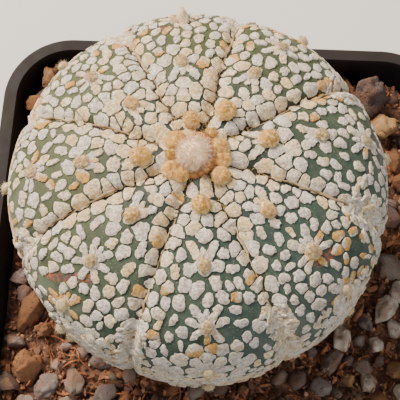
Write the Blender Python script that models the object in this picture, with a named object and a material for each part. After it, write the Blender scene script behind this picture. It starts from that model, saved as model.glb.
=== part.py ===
"""Potted star cactus: a square nursery pot, its gritty soil, and the eight-ribbed plant standing in it.

Units are metres and +Z is up. The origin is the middle of the pot's underside. The plant's surface is
a mesh of irregular cells: each woolly fleck is one cell raised off the green skin, the areoles are
taller cells along the rib crests, and the crown's wool is a cluster of the tallest ones.
"""

import math
import random

import bmesh
import bpy
import numpy as np
from mathutils import Matrix, Vector
from mathutils.geometry import delaunay_2d_cdt

MM = 0.001
CLEARANCE = 0.3 * MM                # left between pieces that touch

# Pot: a thin-walled square plastic pot with a thicker band round its mouth
POT_WIDTH = 100 * MM                # across the rim band
POT_HEIGHT = 84 * MM
POT_BASE_WIDTH = 72 * MM
POT_WALL = 1.5 * MM
POT_FLOOR = 2 * MM
RIM_LEDGE = 3 * MM                  # width of the rim's flat top
RIM_DROP = 9 * MM                   # height of the band
RIM_EDGE = 0.5 * MM                 # rounding of the band's edges
CORNER_RADIUS = 15 * MM             # outer corners, at the rim
CORNER_STEPS = 8
DRAIN_RADIUS = 4 * MM
DRAIN_OFFSET = 22 * MM              # of each drain hole from the pot's middle, along X and Y

# Plant: radius at its widest level, and the heights above and below that level
PLANT_RADIUS = 35 * MM
CROWN_HEIGHT = 19.1 * MM
BODY_DEPTH = 35 * MM
FULLNESS = 2.65                     # exponent of the body's side: 2 is an ellipse, more is squarer
WIDEST_ABOVE_RIM = 20 * MM
PLANT_X = -5 * MM                   # the plant stands off the pot's middle
PLANT_Y = 6.4 * MM
NECK_RADIUS = 7 * MM
ROOT_LENGTH = 34 * MM
ROOT_TIP_RADIUS = 1.2 * MM
ROOT_STEPS = 4

# Ribs, counter-clockwise. Each row holds the azimuth in degrees of the groove where the rib starts,
# how far its inner areoles lean round from its middle, and its first areole's distance from the
# crown with the spacing of those that follow, both in mm along the skin.
RIBS = (
    (-61, 0, 14.9, 10.0),
    (-14, 9, 12.2, 9.4),
    (34, 8, 9.2, 9.4),
    (78, 4, 6.4, 12.0),
    (121, 0, 15.0, 10.0),
    (163, 0, 9.6, 10.0),
    (206, -4, 15.0, 10.0),
    (252, 0, 8.8, 10.0),
)
GROOVE_DEPTH = 0.9 * MM
GROOVE_HALF_WIDTH = 1.5 * MM
RIB_SWELL = 0.5 * MM                # how far a rib's crest stands above its edges
GROOVES_START = 3 * MM              # distance from the crown where the grooves begin
GROOVES_FULL = 8 * MM               # distance from the crown where they have their full depth

# Flecks: their spacing at distances along the skin from the crown, both in mm
FLECK_PITCH = ((7, 3.0), (20, 3.6), (40, 4.1), (60, 6.0), (80, 8.0))
FLECK_START = 7.4 * MM
FLECK_CLEAR_OF_SOIL = 3.5 * MM
FLECK_GAP = 0.42 * MM               # from a cell's border to the fleck's edge
FLECK_HEIGHT = 0.6 * MM
FLECK_SPREAD = (0.8, 1.1)           # of the flecks' heights
FLECK_JITTER = 0.2                  # in pitches
BARE_SHARE = 0.05                   # cells left as green skin
RELAX_PASSES = 2
AREOLE_RADIUS = 1.7 * MM
YOUNG_AREOLE_ARC = 4.9 * MM         # distance from the crown of the ring of youngest areoles
WOOL_ARC = 2.0 * MM                 # distance from the crown of the outer lumps of wool
WOOL_LUMPS = 6

# Soil: a gritty filling, mounded with grains
SOIL_BELOW_RIM = 8 * MM
STEM_AT_SOIL = 27 * MM              # the plant's radius where it meets the soil
HOLE_STEPS = 9                      # rings down the hollow that the plant sits in
GRAIN_THROWS = 4000
GRAIN_CROWDING = 0.8                # closest two grains' middles lie, over the sum of their radii
GRAIN_RADIUS = (5.2 * MM, 2.8 * MM)  # largest and smallest
GRAIN_FLATNESS = (0.6, 0.95)
GRAIN_STRETCH = 1.15                # most that a grain is longer than its mean width

WIDEST_Z = POT_HEIGHT + WIDEST_ABOVE_RIM
SOIL_Z = POT_HEIGHT - SOIL_BELOW_RIM
POT_INSIDE = POT_WIDTH - 2 * RIM_LEDGE
FLECK_REACH = FLECK_HEIGHT * FLECK_SPREAD[1]
PLANT_PLACE = Vector((PLANT_X, PLANT_Y, WIDEST_Z))


def clear_scene():
    for old in list(bpy.data.objects):
        bpy.data.objects.remove(old, do_unlink=True)


def new_collection(name):
    collection = bpy.data.collections.new(name)
    bpy.context.scene.collection.children.link(collection)
    return collection


def make_material(name, colour, roughness):
    material = bpy.data.materials.new(name)
    material.use_nodes = True
    shader = material.node_tree.nodes["Principled BSDF"]
    shader.inputs["Base Color"].default_value = (*colour, 1)
    shader.inputs["Roughness"].default_value = roughness
    shader.inputs["Metallic"].default_value = 0
    material.diffuse_color = (*colour, 1)
    return material


def add_object(name, bm, collection):
    mesh = bpy.data.meshes.new(name)
    bm.to_mesh(mesh)
    bm.free()
    obj = bpy.data.objects.new(name, mesh)
    collection.objects.link(obj)
    return obj


def add_cutter(name, bm, collection):
    cutter = add_object(name, bm, collection)
    cutter.hide_render = True
    cutter.display_type = "WIRE"
    return cutter


def add_boolean(obj, operation, target):
    boolean = obj.modifiers.new(f"{operation.lower()} {target.name}", "BOOLEAN")
    boolean.operation = operation
    if isinstance(target, bpy.types.Collection):
        boolean.operand_type = "COLLECTION"
        boolean.collection = target
    else:
        boolean.object = target
    return boolean


def apply_modifiers(obj):
    graph = bpy.context.evaluated_depsgraph_get()
    plain, obj.data = obj.data, bpy.data.meshes.new_from_object(obj.evaluated_get(graph))
    obj.modifiers.clear()
    bpy.data.meshes.remove(plain)


def shell_of(start):
    """Every vertex joined to this one by edges."""
    shell, edge_of_shell = {start}, [start]
    while edge_of_shell:
        vert = edge_of_shell.pop()
        fresh = [edge.other_vert(vert) for edge in vert.link_edges]
        fresh = [other for other in fresh if other not in shell]
        shell.update(fresh)
        edge_of_shell.extend(fresh)
    return shell


def keep_largest_shell(obj):
    """Drop the pockets and scraps that a union of many grains leaves behind."""
    bm = bmesh.new()
    bm.from_mesh(obj.data)
    shells, left = [], set(bm.verts)
    while left:
        shells.append(shell_of(next(iter(left))))
        left -= shells[-1]
    shells.sort(key=len)
    for shell in shells[:-1]:
        bmesh.ops.delete(bm, geom=list(shell), context="VERTS")
    bm.to_mesh(obj.data)
    bm.free()


# ---------------------------------------------------------------- pot

def inner_width(z):
    """Width between the pot's side walls at height z."""
    base = POT_BASE_WIDTH - 2 * POT_WALL
    return base + (POT_INSIDE - base) * z / POT_HEIGHT


def tapered_block(low, high, low_width, high_width, corner):
    """A square block with rounded upright corners, wider at its top than at its bottom."""
    bm = bmesh.new()
    bmesh.ops.create_cube(bm, size=1)
    for vert in bm.verts:
        width, z = (high_width, high) if vert.co.z > 0 else (low_width, low)
        vert.co = Vector((vert.co.x * width, vert.co.y * width, z))
    upright = [e for e in bm.edges if abs(e.verts[0].co.z - e.verts[1].co.z) > 0.5 * (high - low)]
    bmesh.ops.bevel(bm, geom=upright, offset=corner, segments=CORNER_STEPS, affect="EDGES", profile=0.5)
    return bm


def build_pot(parts, cutters):
    wall_corner = CORNER_RADIUS - RIM_LEDGE + POT_WALL
    body = tapered_block(0, POT_HEIGHT - MM, POT_BASE_WIDTH, POT_INSIDE + 2 * POT_WALL, wall_corner)
    pot = add_object("pot", body, parts)

    band = tapered_block(POT_HEIGHT - RIM_DROP, POT_HEIGHT, POT_WIDTH, POT_WIDTH, CORNER_RADIUS)
    edges = [e for e in band.edges if abs(e.verts[0].co.z - e.verts[1].co.z) < RIM_EDGE]
    bmesh.ops.bevel(band, geom=edges, offset=RIM_EDGE, segments=2, affect="EDGES", profile=0.5)
    add_boolean(pot, "UNION", add_cutter("rim band", band, cutters))

    over = MM
    hollow = tapered_block(POT_FLOOR, POT_HEIGHT + over, inner_width(POT_FLOOR),
                           inner_width(POT_HEIGHT + over), CORNER_RADIUS - RIM_LEDGE)
    add_boolean(pot, "DIFFERENCE", add_cutter("pot hollow", hollow, cutters))

    drains = bmesh.new()
    for x in (-DRAIN_OFFSET, DRAIN_OFFSET):
        for y in (-DRAIN_OFFSET, DRAIN_OFFSET):
            bmesh.ops.create_cone(drains, cap_ends=True, segments=16, radius1=DRAIN_RADIUS,
                                  radius2=DRAIN_RADIUS, depth=4 * POT_FLOOR,
                                  matrix=Matrix.Translation((x, y, 0)))
    add_boolean(pot, "DIFFERENCE", add_cutter("drain holes", drains, cutters))
    apply_modifiers(pot)
    return pot


# ---------------------------------------------------------------- plant surface

class PlantSide:
    """The plant's side from crown to neck, read by the distance along the skin from the crown.

    The flat map unrolls the skin onto a plane about the crown without skewing it: a step along the
    skin and a step round it are stretched alike, so cells that are even on the map are even on it.
    """

    def __init__(self):
        turn = np.linspace(0.002, math.pi - 0.002, 4000)
        power = 2 / FULLNESS
        radius = PLANT_RADIUS * np.sin(turn) ** power
        depth = np.where(turn < math.pi / 2, CROWN_HEIGHT, BODY_DEPTH)
        height = depth * np.sign(np.cos(turn)) * np.abs(np.cos(turn)) ** power
        kept = (turn < math.pi / 2) | (radius > NECK_RADIUS)
        self.radii, self.heights = radius[kept], height[kept]
        steps = np.hypot(np.diff(self.radii), np.diff(self.heights))
        self.arcs = self.radii[0] + np.concatenate(([0], np.cumsum(steps)))
        stretch = np.diff(self.arcs) / (0.5 * (self.radii[1:] + self.radii[:-1]))
        self.map_radii = self.arcs[0] * np.exp(np.concatenate(([0], np.cumsum(stretch))))

    def radius(self, arc):
        return float(np.interp(arc, self.arcs, self.radii))

    def height(self, arc):
        return float(np.interp(arc, self.arcs, self.heights))

    def arc_at_height(self, height):
        return float(np.interp(-height, -self.heights, self.arcs))

    def neck_arc(self):
        return float(self.arcs[-1])

    def outward(self, arc):
        """Radial and upward parts of the skin's outward direction."""
        step = 0.3 * MM
        along = (self.radius(arc + step) - self.radius(arc - step),
                 self.height(arc + step) - self.height(arc - step))
        length = math.hypot(*along)
        return -along[1] / length, along[0] / length

    def to_map(self, arc, azimuth):
        reach = float(np.interp(arc, self.arcs, self.map_radii))
        return Vector((reach * math.cos(azimuth), reach * math.sin(azimuth)))

    def from_map(self, spot):
        arc = float(np.interp(spot.length, self.map_radii, self.arcs))
        return arc, math.atan2(spot.y, spot.x)


def rib_spans():
    """Each rib's first and last azimuth, in radians."""
    starts = [math.radians(rib[0]) for rib in RIBS]
    return list(zip(starts, starts[1:] + [starts[0] + 2 * math.pi]))


def rib_at(azimuth):
    """The rib's number at an azimuth, and how far across it that lies, from 0 to 1."""
    spans = rib_spans()
    azimuth = spans[0][0] + (azimuth - spans[0][0]) % (2 * math.pi)
    for number, (start, end) in enumerate(spans):
        if azimuth <= end:
            return number, (azimuth - start) / (end - start)


def skin_point(side, arc, azimuth):
    """The place on the ribbed skin, round the plant's own axis."""
    number, across = rib_at(azimuth)
    start, end = rib_spans()[number]
    reach = side.radius(arc)
    from_groove = reach * (end - start) * min(across, 1 - across)
    grown = min(1, max(0, (arc - GROOVES_START) / (GROOVES_FULL - GROOVES_START)))
    groove = GROOVE_DEPTH * math.exp(-(from_groove / GROOVE_HALF_WIDTH) ** 2)
    lift = -grown * (groove + RIB_SWELL * (2 * across - 1) ** 2)
    out, up = side.outward(arc)
    spread = reach + lift * out
    return Vector((spread * math.cos(azimuth), spread * math.sin(azimuth), side.height(arc) + lift * up))


# ---------------------------------------------------------------- plant cells

def areole_places(side, soil_arc):
    """Areoles down the crest of each rib, as (arc, azimuth), the youngest first."""
    places = []
    for (start, end), (_, lean, first, spacing) in zip(rib_spans(), RIBS):
        arcs = [YOUNG_AREOLE_ARC]
        arcs += [arc * MM for arc in np.arange(first, soil_arc / MM, spacing)]
        if arcs[1] - arcs[0] < 3 * MM:
            arcs.pop(0)
        for arc in arcs:
            inward = max(0, 1 - arc / (1.2 * PLANT_RADIUS))
            places.append((arc, 0.5 * (start + end) + math.radians(lean) * inward))
    return places


def fleck_places(side, last_arc, draw):
    """Flecks in rows across each rib, as (arc, azimuth), with every second column half a row on."""
    marks, pitches = zip(*FLECK_PITCH)
    places = []
    for start, end in rib_spans():
        arc = FLECK_START
        while arc < last_arc:
            pitch = MM * float(np.interp(arc / MM, marks, pitches))
            count = max(1, round(side.radius(arc) * (end - start) / pitch))
            for column in range(count):
                across = (column + 0.5 + draw.uniform(-FLECK_JITTER, FLECK_JITTER)) / count
                shift = 0.5 * (column % 2) + draw.uniform(-FLECK_JITTER, FLECK_JITTER)
                places.append((arc + shift * pitch, start + (end - start) * across))
            arc += 0.95 * pitch
    return places


def ring_places(arc, count):
    return [(arc, 2 * math.pi * (number + 0.5) / count) for number in range(count)]


def triangles_of(seeds):
    return delaunay_2d_cdt(seeds, [], [], 0, 1e-9)[2]


def middle_of(points):
    return sum(points, Vector((0, 0))) / len(points)


def relax(seeds, loose):
    """Even the loose seeds out a little, by moving each towards the middle of its neighbours."""
    around = [[] for _ in seeds]
    for corners in triangles_of(seeds):
        middle = middle_of([seeds[corner] for corner in corners])
        for corner in corners:
            around[corner].append(middle)
    return [seed.lerp(middle_of(near), 0.7) if free and near else seed
            for seed, free, near in zip(seeds, loose, around)]


def plant_cells(side, draw):
    """Cell centres on the flat map, and what each one grows: wool, areole, fleck, skin or border."""
    soil_arc = side.arc_at_height(SOIL_Z - WIDEST_Z)
    neck_arc = side.neck_arc()
    buried_arc = 0.5 * (soil_arc + neck_arc)
    areoles = areole_places(side, soil_arc - 2.5 * FLECK_CLEAR_OF_SOIL)
    taken = [skin_point(side, *place) for place in areoles]
    cells = [(Vector((0, 0)), "wool")]
    cells += [(side.to_map(*place), "wool") for place in ring_places(WOOL_ARC, WOOL_LUMPS)]
    cells += [(side.to_map(*place), "areole") for place in areoles]
    for place in fleck_places(side, soil_arc + 2 * MM, draw):
        spot = skin_point(side, *place)
        if min((spot - other).length for other in taken) > 1.5 * AREOLE_RADIUS:
            bare = place[0] > soil_arc - FLECK_CLEAR_OF_SOIL or draw.random() < BARE_SHARE
            grows = "skin" if bare else "fleck"
            cells.append((side.to_map(*place), grows))
    cells += [(side.to_map(*place), "skin") for place in ring_places(buried_arc, 20)]
    cells += [(side.to_map(*place), "border") for place in ring_places(neck_arc, 12)]
    seeds, kinds = zip(*cells)
    for _ in range(RELAX_PASSES):
        seeds = relax(seeds, [kind in ("fleck", "skin") for kind in kinds])
    return seeds, kinds


def cell_corners(side, seeds, kinds):
    """For each triangle of neighbouring seeds, the corner that their cells share, on the skin."""
    corners = []
    for triangle in triangles_of(seeds):
        arc, azimuth = side.from_map(middle_of([seeds[corner] for corner in triangle]))
        ribs = {rib_at(side.from_map(seeds[corner])[1])[0] for corner in triangle}
        if len(ribs) > 1 and arc > FLECK_START:
            starts = [start for start, _ in rib_spans()]
            azimuth = min(starts, key=lambda start: abs(math.remainder(azimuth - start, 2 * math.pi)))
        if any(kinds[corner] == "border" for corner in triangle):
            arc = side.neck_arc()
        corners.append((triangle, skin_point(side, arc, azimuth)))
    return corners


def raise_cell(bm, face, gap, height):
    bmesh.ops.inset_individual(bm, faces=[face], thickness=gap, depth=height, use_even_offset=True)


def cell_size(face):
    return math.sqrt(face.calc_area())


def root_radius(taper):
    """The root's radius from its neck, at 0, to its tip, at 1."""
    return NECK_RADIUS + (ROOT_TIP_RADIUS - NECK_RADIUS) * taper ** 0.7


def build_plant(side, parts):
    """The whole plant as one closed skin: cells above, and a tapering root drawn out below."""
    draw = random.Random(8)
    seeds, kinds = plant_cells(side, draw)
    bm = bmesh.new()
    around = [[] for _ in seeds]
    for triangle, place in cell_corners(side, seeds, kinds):
        vert = bm.verts.new(place)
        middle = middle_of([seeds[corner] for corner in triangle])
        for corner in triangle:
            around[corner].append((middle - seeds[corner], vert))
    cells = []
    for near, kind in zip(around, kinds):
        if kind != "border":
            near.sort(key=lambda item: math.atan2(item[0].y, item[0].x))
            cells.append((bm.faces.new([vert for _, vert in near]), kind))

    rim = [edge for edge in bm.edges if edge.is_boundary]
    neck_z = side.height(side.neck_arc())
    for step in range(1, ROOT_STEPS + 1):
        grown = bmesh.ops.extrude_edge_only(bm, edges=rim)["geom"]
        rim = [item for item in grown if isinstance(item, bmesh.types.BMEdge)]
        taper = step / ROOT_STEPS
        reach = root_radius(taper)
        for vert in [item for item in grown if isinstance(item, bmesh.types.BMVert)]:
            flat = vert.co.xy.normalized() * reach
            vert.co = Vector((flat.x, flat.y, neck_z - ROOT_LENGTH * taper))
    bmesh.ops.contextual_create(bm, geom=rim)
    bmesh.ops.recalc_face_normals(bm, faces=bm.faces)

    for face, kind in cells:
        size = cell_size(face)
        if kind == "fleck":
            raise_cell(bm, face, min(FLECK_GAP, 0.16 * size), FLECK_HEIGHT * draw.uniform(*FLECK_SPREAD))
        elif kind == "areole":
            raise_cell(bm, face, 0.12 * size, 0.8 * MM)
            raise_cell(bm, face, 0.18 * size, 0.5 * MM)
        elif kind == "wool":
            raise_cell(bm, face, 0.1 * size, 1.3 * MM)
            raise_cell(bm, face, 0.22 * size, 0.5 * MM)
    plant = add_object("cactus", bm, parts)
    plant.location = PLANT_PLACE
    return plant


# ---------------------------------------------------------------- soil

def plant_hole(side):
    """The plain round hollow that the plant and its root stand in, as a turned solid."""
    soil_arc = side.arc_at_height(SOIL_Z - WIDEST_Z)
    over_grains = side.arc_at_height(SOIL_Z + 2 * GRAIN_RADIUS[0] - WIDEST_Z)
    beside_flecks = np.linspace(over_grains, soil_arc, 5)
    below = np.linspace(soil_arc + 2 * MM, side.neck_arc(), HOLE_STEPS)
    profile = [(side.radius(arc) + FLECK_REACH + CLEARANCE, side.height(arc)) for arc in beside_flecks]
    profile += [(side.radius(arc) + 2 * CLEARANCE, side.height(arc) - CLEARANCE) for arc in below]
    neck_z = side.height(side.neck_arc())
    for step in range(1, ROOT_STEPS + 1):
        reach = root_radius(step / ROOT_STEPS) + 1.5 * CLEARANCE
        profile.append((reach, neck_z - ROOT_LENGTH * step / ROOT_STEPS - CLEARANCE))
    bm = bmesh.new()
    rings = [bm.verts.new((radius, 0, z)) for radius, z in profile]
    edges = [bm.edges.new(pair) for pair in zip(rings, rings[1:])]
    bmesh.ops.spin(bm, geom=rings + edges, axis=(0, 0, 1), cent=(0, 0, 0), steps=32,
                   angle=2 * math.pi, use_merge=True)
    bmesh.ops.remove_doubles(bm, verts=bm.verts, dist=0.01 * MM)
    bmesh.ops.holes_fill(bm, edges=bm.edges, sides=0)
    bmesh.ops.recalc_face_normals(bm, faces=bm.faces)
    bmesh.ops.translate(bm, verts=bm.verts, vec=PLANT_PLACE)
    return bm


def inside_corners(spot, reach, corner):
    """Whether a place lies in a square of this half width whose corners are rounded."""
    beyond = Vector((max(0, abs(spot.x) - reach + corner), max(0, abs(spot.y) - reach + corner)))
    return beyond.length <= corner


def scatter_grains(draw):
    """Grains as (spot, radius), the largest first, each kept where it lies beside those before it."""
    half = 0.5 * inner_width(SOIL_Z) - CLEARANCE
    largest, smallest = GRAIN_RADIUS
    grains = []
    for throw in range(GRAIN_THROWS):
        radius = largest + (smallest - largest) * throw / GRAIN_THROWS
        reach = half - GRAIN_STRETCH * radius - CLEARANCE
        spot = Vector((draw.uniform(-reach, reach), draw.uniform(-reach, reach)))
        off_stem = (spot - PLANT_PLACE.xy).length > STEM_AT_SOIL
        apart = all((spot - other).length > GRAIN_CROWDING * (radius + size) for other, size in grains)
        if off_stem and apart and inside_corners(spot, reach, CORNER_RADIUS - radius):
            grains.append((spot, radius))
    return grains


def build_soil(side, parts, cutters):
    draw = random.Random(21)
    low = POT_FLOOR + CLEARANCE
    inset = 2 * CLEARANCE
    block = tapered_block(low, SOIL_Z, inner_width(low) - inset, inner_width(SOIL_Z) - inset,
                          CORNER_RADIUS - RIM_LEDGE - CLEARANCE)
    soil = add_object("soil", block, parts)

    grains = new_collection("grains")
    for number, (spot, radius) in enumerate(scatter_grains(draw)):
        bm = bmesh.new()
        bmesh.ops.create_icosphere(bm, subdivisions=1, radius=radius)
        widths = [draw.uniform(2 - GRAIN_STRETCH, GRAIN_STRETCH) for _ in range(2)]
        stretch = (*widths, draw.uniform(*GRAIN_FLATNESS))
        bmesh.ops.scale(bm, vec=stretch, verts=bm.verts)
        turn = Matrix.Rotation(draw.uniform(0, math.tau), 3, "Z")
        tilt = Matrix.Rotation(draw.uniform(-0.4, 0.4), 3, "X")
        bmesh.ops.rotate(bm, matrix=turn @ tilt, verts=bm.verts)
        bmesh.ops.translate(bm, vec=(spot.x, spot.y, SOIL_Z + draw.uniform(-0.1, 0.25) * radius),
                            verts=bm.verts)
        add_cutter(f"grain {number}", bm, grains)
    add_boolean(soil, "UNION", grains)
    add_boolean(soil, "DIFFERENCE", add_cutter("plant hole", plant_hole(side), cutters))
    apply_modifiers(soil)
    keep_largest_shell(soil)
    for grain in list(grains.objects):
        bpy.data.objects.remove(grain, do_unlink=True)
    bpy.data.collections.remove(grains)
    return soil


def main():
    clear_scene()
    parts = new_collection("potted star cactus")
    cutters = new_collection("cutters")
    side = PlantSide()
    pot = build_pot(parts, cutters)
    soil = build_soil(side, parts, cutters)
    plant = build_plant(side, parts)
    pot.data.materials.append(make_material("black plastic", (0.03, 0.032, 0.036), 0.55))
    soil.data.materials.append(make_material("grit and bark", (0.2, 0.11, 0.07), 0.9))
    plant.data.materials.append(make_material("flecked skin", (0.62, 0.6, 0.52), 0.8))
    for obj in (pot, soil):
        obj.data.shade_smooth()
        obj.data.set_sharp_from_angle(angle=math.radians(30))


main()
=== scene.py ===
"""Potted star cactus, dressed: skin, flecks, felted areoles, crown wool, gritty soil and the pot.

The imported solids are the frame. The plant's skin follows the same side and ribs as its solid, and is
covered with woolly flecks, each a thin raised pad cut to its own cell between its neighbours.
"""

import math
import random

import bmesh
import bpy
import numpy as np
from mathutils import Matrix, Vector, noise
from mathutils.geometry import delaunay_2d_cdt


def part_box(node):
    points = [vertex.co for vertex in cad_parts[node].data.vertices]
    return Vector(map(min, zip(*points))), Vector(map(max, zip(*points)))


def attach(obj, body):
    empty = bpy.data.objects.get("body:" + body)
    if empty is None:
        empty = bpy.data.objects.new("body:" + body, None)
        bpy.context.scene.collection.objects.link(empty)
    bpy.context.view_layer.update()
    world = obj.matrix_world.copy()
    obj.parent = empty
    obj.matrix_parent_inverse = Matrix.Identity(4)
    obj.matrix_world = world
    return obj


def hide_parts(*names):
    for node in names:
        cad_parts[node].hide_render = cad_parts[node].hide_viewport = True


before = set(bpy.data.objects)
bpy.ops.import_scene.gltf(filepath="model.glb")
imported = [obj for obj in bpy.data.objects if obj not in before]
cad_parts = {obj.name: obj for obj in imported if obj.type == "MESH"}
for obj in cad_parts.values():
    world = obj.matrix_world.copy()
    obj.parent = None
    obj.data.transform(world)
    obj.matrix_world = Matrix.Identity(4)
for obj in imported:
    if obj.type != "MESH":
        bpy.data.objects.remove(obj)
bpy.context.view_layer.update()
POT_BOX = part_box("pot")

MM = 0.001
TURN = 2 * math.pi
PLANT_SEED = 5
SOIL_SEED = 8

# Plant, as its solid has it
PLANT_RADIUS = 35 * MM
CROWN_HEIGHT = 19.1 * MM
BODY_DEPTH = 35 * MM
FULLNESS = 2.65                     # exponent of the body's side: 2 is an ellipse, more is squarer
WIDEST_ABOVE_RIM = 20 * MM
PLANT_X = -5 * MM
PLANT_Y = 6.4 * MM
PLANT_PLACE = Vector((PLANT_X, PLANT_Y, POT_BOX[1].z + WIDEST_ABOVE_RIM))
SOIL_Z = POT_BOX[1].z - 8 * MM
SOIL_ARC = 76 * MM                  # distance from the crown, along the skin, to the soil
STEM_AT_SOIL = 26.2 * MM            # the plant's radius there
AGE_REACH = 1.3 * PLANT_RADIUS      # distance from the crown at which a point's age is 1
CORK_DEPTH = 7 * MM                 # height over which the side turns corky, from its widest level down

# Pot, as its solid has it
POT_HEIGHT = POT_BOX[1].z
POT_WIDTH = POT_BOX[1].x - POT_BOX[0].x
POT_BASE_WIDTH = 72 * MM
POT_WALL = 1.5 * MM
POT_FLOOR = 2 * MM
RIM_LEDGE = 3 * MM
RIM_DROP = 9 * MM
RIM_EDGE = 1.1 * MM
CORNER_RADIUS = 15 * MM
CORNER_STEPS = 20
INSIDE_CORNER = CORNER_RADIUS - RIM_LEDGE
DRAIN_RADIUS = 4 * MM
DRAIN_OFFSET = 22 * MM
POT_INSIDE = POT_WIDTH - 2 * RIM_LEDGE

# Soil
# The chalk stones lie only at the right front: pale stones made brighter still, as painted light where the
# plant's shadow falls on the soil.
STONES = (                          # x, y and half width in mm, with the kind
    (38.8, 25.4, 2.6, "clay"), (40.8, 31.0, 1.6, "grey"), (39.6, 20.4, 2.0, "clay"),
    (-40.4, -12.3, 3.5, "clay"), (-36.8, -16.0, 2.0, "clay"), (-39.3, -23.8, 3.8, "clay"),
    (-42.6, -18.6, 2.1, "grey"), (-43.0, -5.1, 2.1, "grey"), (-35.0, -27.4, 2.4, "grey"),
    (-22.6, -28.4, 2.4, "grey"), (35.4, -8.9, 2.6, "chalk"), (31.2, -12.0, 1.8, "grey"),
    (21.6, -25.0, 2.0, "grey"), (33.3, -16.4, 2.1, "chalk"), (30.2, -20.9, 1.7, "grey"),
    (38.6, -4.4, 1.9, "chalk"), (-30.5, -31.5, 2.2, "grey"), (26.0, -15.4, 2.5, "chalk"),
    (36.9, 0.6, 2.7, "pale"), (-41.4, -8.6, 1.9, "mauve"), (37.4, 12.0, 1.8, "mauve"),
    (24.2, -19.9, 2.3, "pale"), (37.6, -12.6, 1.8, "chalk"), (31.4, -24.0, 1.7, "chalk"),
    (37.1, -21.2, 1.9, "ochre"), (-29.2, -26.4, 2.4, "pale"), (-43.0, -27.2, 2.4, "pale"),
    (27.3, -23.6, 1.3, "ochre"), (38.2, -25.6, 1.8, "chalk"), (-25.6, -31.5, 1.9, "pale"),
    (-38.6, -31.5, 2.1, "pale"), (14.0, -29.5, 1.8, "grey"), (2.0, -31.0, 2.0, "clay"),
    (-12.0, -30.4, 1.9, "mauve"),
)
HEAPED = (                          # the same, with the middle's height above the soil, in the far corners
    (32.2, 40.2, 5.0, "lava", 4.5), (35.6, 32.6, 3.1, "ochre", 3.2), (27.5, 43.5, 2.6, "clay", 1.0),
    (-40.6, 41.0, 2.4, "ochre", 4.6), (-38.6, 43.2, 1.9, "clay", 4.4), (-43.4, 35.2, 2.1, "clay", 4.2),
    (-40.2, 38.4, 3.0, "clay", 1.4), (-37.6, 41.0, 2.8, "mauve", 1.6), (-42.4, 36.8, 2.4, "mauve", 2.2),
)
STREWN = (("clay", 0.3), ("grey", 0.26), ("mauve", 0.14), ("pale", 0.3))     # kinds and their shares
STONE_THROWS = 1500                 # tries at setting a stone among those that are placed
STONE_RADIUS = (2.3 * MM, 0.9 * MM)    # of the first try and of the last
STONE_CHANCE = 0.62                 # that a try with room for its stone sets one
KNOBBLY = {"lava": 0.45, "clay": 0.45, "ochre": 0.4}    # how uneven these kinds are
KNOBBLY_REST = 0.34
CRUMBS = 6500
FIBRES = 240

# Ribs, counter-clockwise: the azimuth in degrees of the groove where each starts, how far its inner
# areoles lean round, and its first areole's distance from the crown and their spacing, in mm
RIBS = (
    (-61, 0, 14.9, 10.0),
    (-14, 9, 12.2, 9.4),
    (34, 8, 9.2, 9.4),
    (78, 4, 6.4, 12.0),
    (121, 0, 15.0, 10.0),
    (163, 0, 9.6, 10.0),
    (206, -4, 15.0, 10.0),
    (252, 0, 8.8, 10.0),
)
RIB_NAMES = ("right_front", "right", "right_back", "back", "left_back", "left", "left_front", "front")
RIB_TURN = 0.78                     # about an eighth of a turn, in radians
GROOVE_DEPTH = 1.1 * MM
GROOVE_HALF_WIDTH = 1.0 * MM
RIB_SWELL = 0.5 * MM
GROOVES_START = 3 * MM
GROOVES_FULL = 8 * MM

# Flecks
FLECK_START = 5.4 * MM
FLECK_END = SOIL_ARC - 1.5 * MM
FLECK_PITCH = ((6, 2.1), (14, 2.5), (22, 2.7), (36, 2.7), (44, 2.6), (60, 3.2), (80, 4.0))
FLECK_SIDES = 20
FILLERS = 2500                      # tries at setting a small fleck in a gap
FLECK_VALUES = ("cream", "tint", "edge", "rust")    # what the flecks' finish reads at each point
CELL_SHARPNESS = 12                 # how squarely a fleck fills the corners of its cell
CRUST_ARC = 33 * MM                 # about where the plant's side turns down
OLD_SKIN_ARC = 48 * MM              # about beyond this the flecks have run together everywhere
PALE_SIDE = math.radians(140)       # azimuth of the side where the flecks are most crowded, and creamiest under a painted warm light
CRUSTS = (                          # azimuth in degrees, first distance and half width in mm, above that
    (-61, 34, 1.8), (252, 34, 1.8), (206, 34, 2.6), (163, 31, 4.0), (121, 31, 2.6), (78, 31, 2.0),
    (34, 31, 2.2), (-14, 28, 3.0), (-38, 34.5, 5.5), (198, 38, 6.0), (236, 35, 4.5), (-86, 32, 8.0),
)
STROKES_FROM = 23 * MM              # the areoles beyond this have long flecks set round them like rays
STROKE_TURNS = (-125, -80, 80, 125, 180)    # which way the rays point, in degrees
AREOLE_ROOM = {"areole": 1.7 * MM, "base": 2.1 * MM}    # kept clear of scattered flecks
PETAL_ROOM = 0.75 * MM
CLOSE_FILLERS = 12 * MM               # within this distance of the crown the fillers stand closer
PRONG = ((1.8, 1.25, 0.85), (3.3, 1.25, 0.75))    # distance out, half length and half width in mm
PAD_RINGS = (                       # share of the reach, share of the height, and closeness to the edge
    (0.98, -0.5, 1.0),
    (1.0, 0.62, 1.0),
    (0.88, 1.0, 0.5),
)
OCHRE_SPOTS = (                     # distance from the crown in mm, azimuth in degrees, reach in mm
    (27, -36, 3.5), (30, -26, 3.5), (36, -27, 4), (38, -35, 5), (29, 119, 3.5), (29.5, 36, 3),
    (20.8, 195, 2.5), (24, 150, 1.6), (18, 263, 1.6), (21.5, 241, 1.8), (32, 272, 2.5),
    (26, 288, 1.6), (33, 228, 4), (36, 60, 4), (40, 200, 5),
)
SCARS = (                           # a line's two ends, each as distance and azimuth, and its half width
    (33.3, 219.1, 27.0, 232.5, 0.6), (26.9, -39.0, 28.5, -30.6, 0.8), (29.8, 110.4, 27.2, 101.5, 0.7),
)
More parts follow.
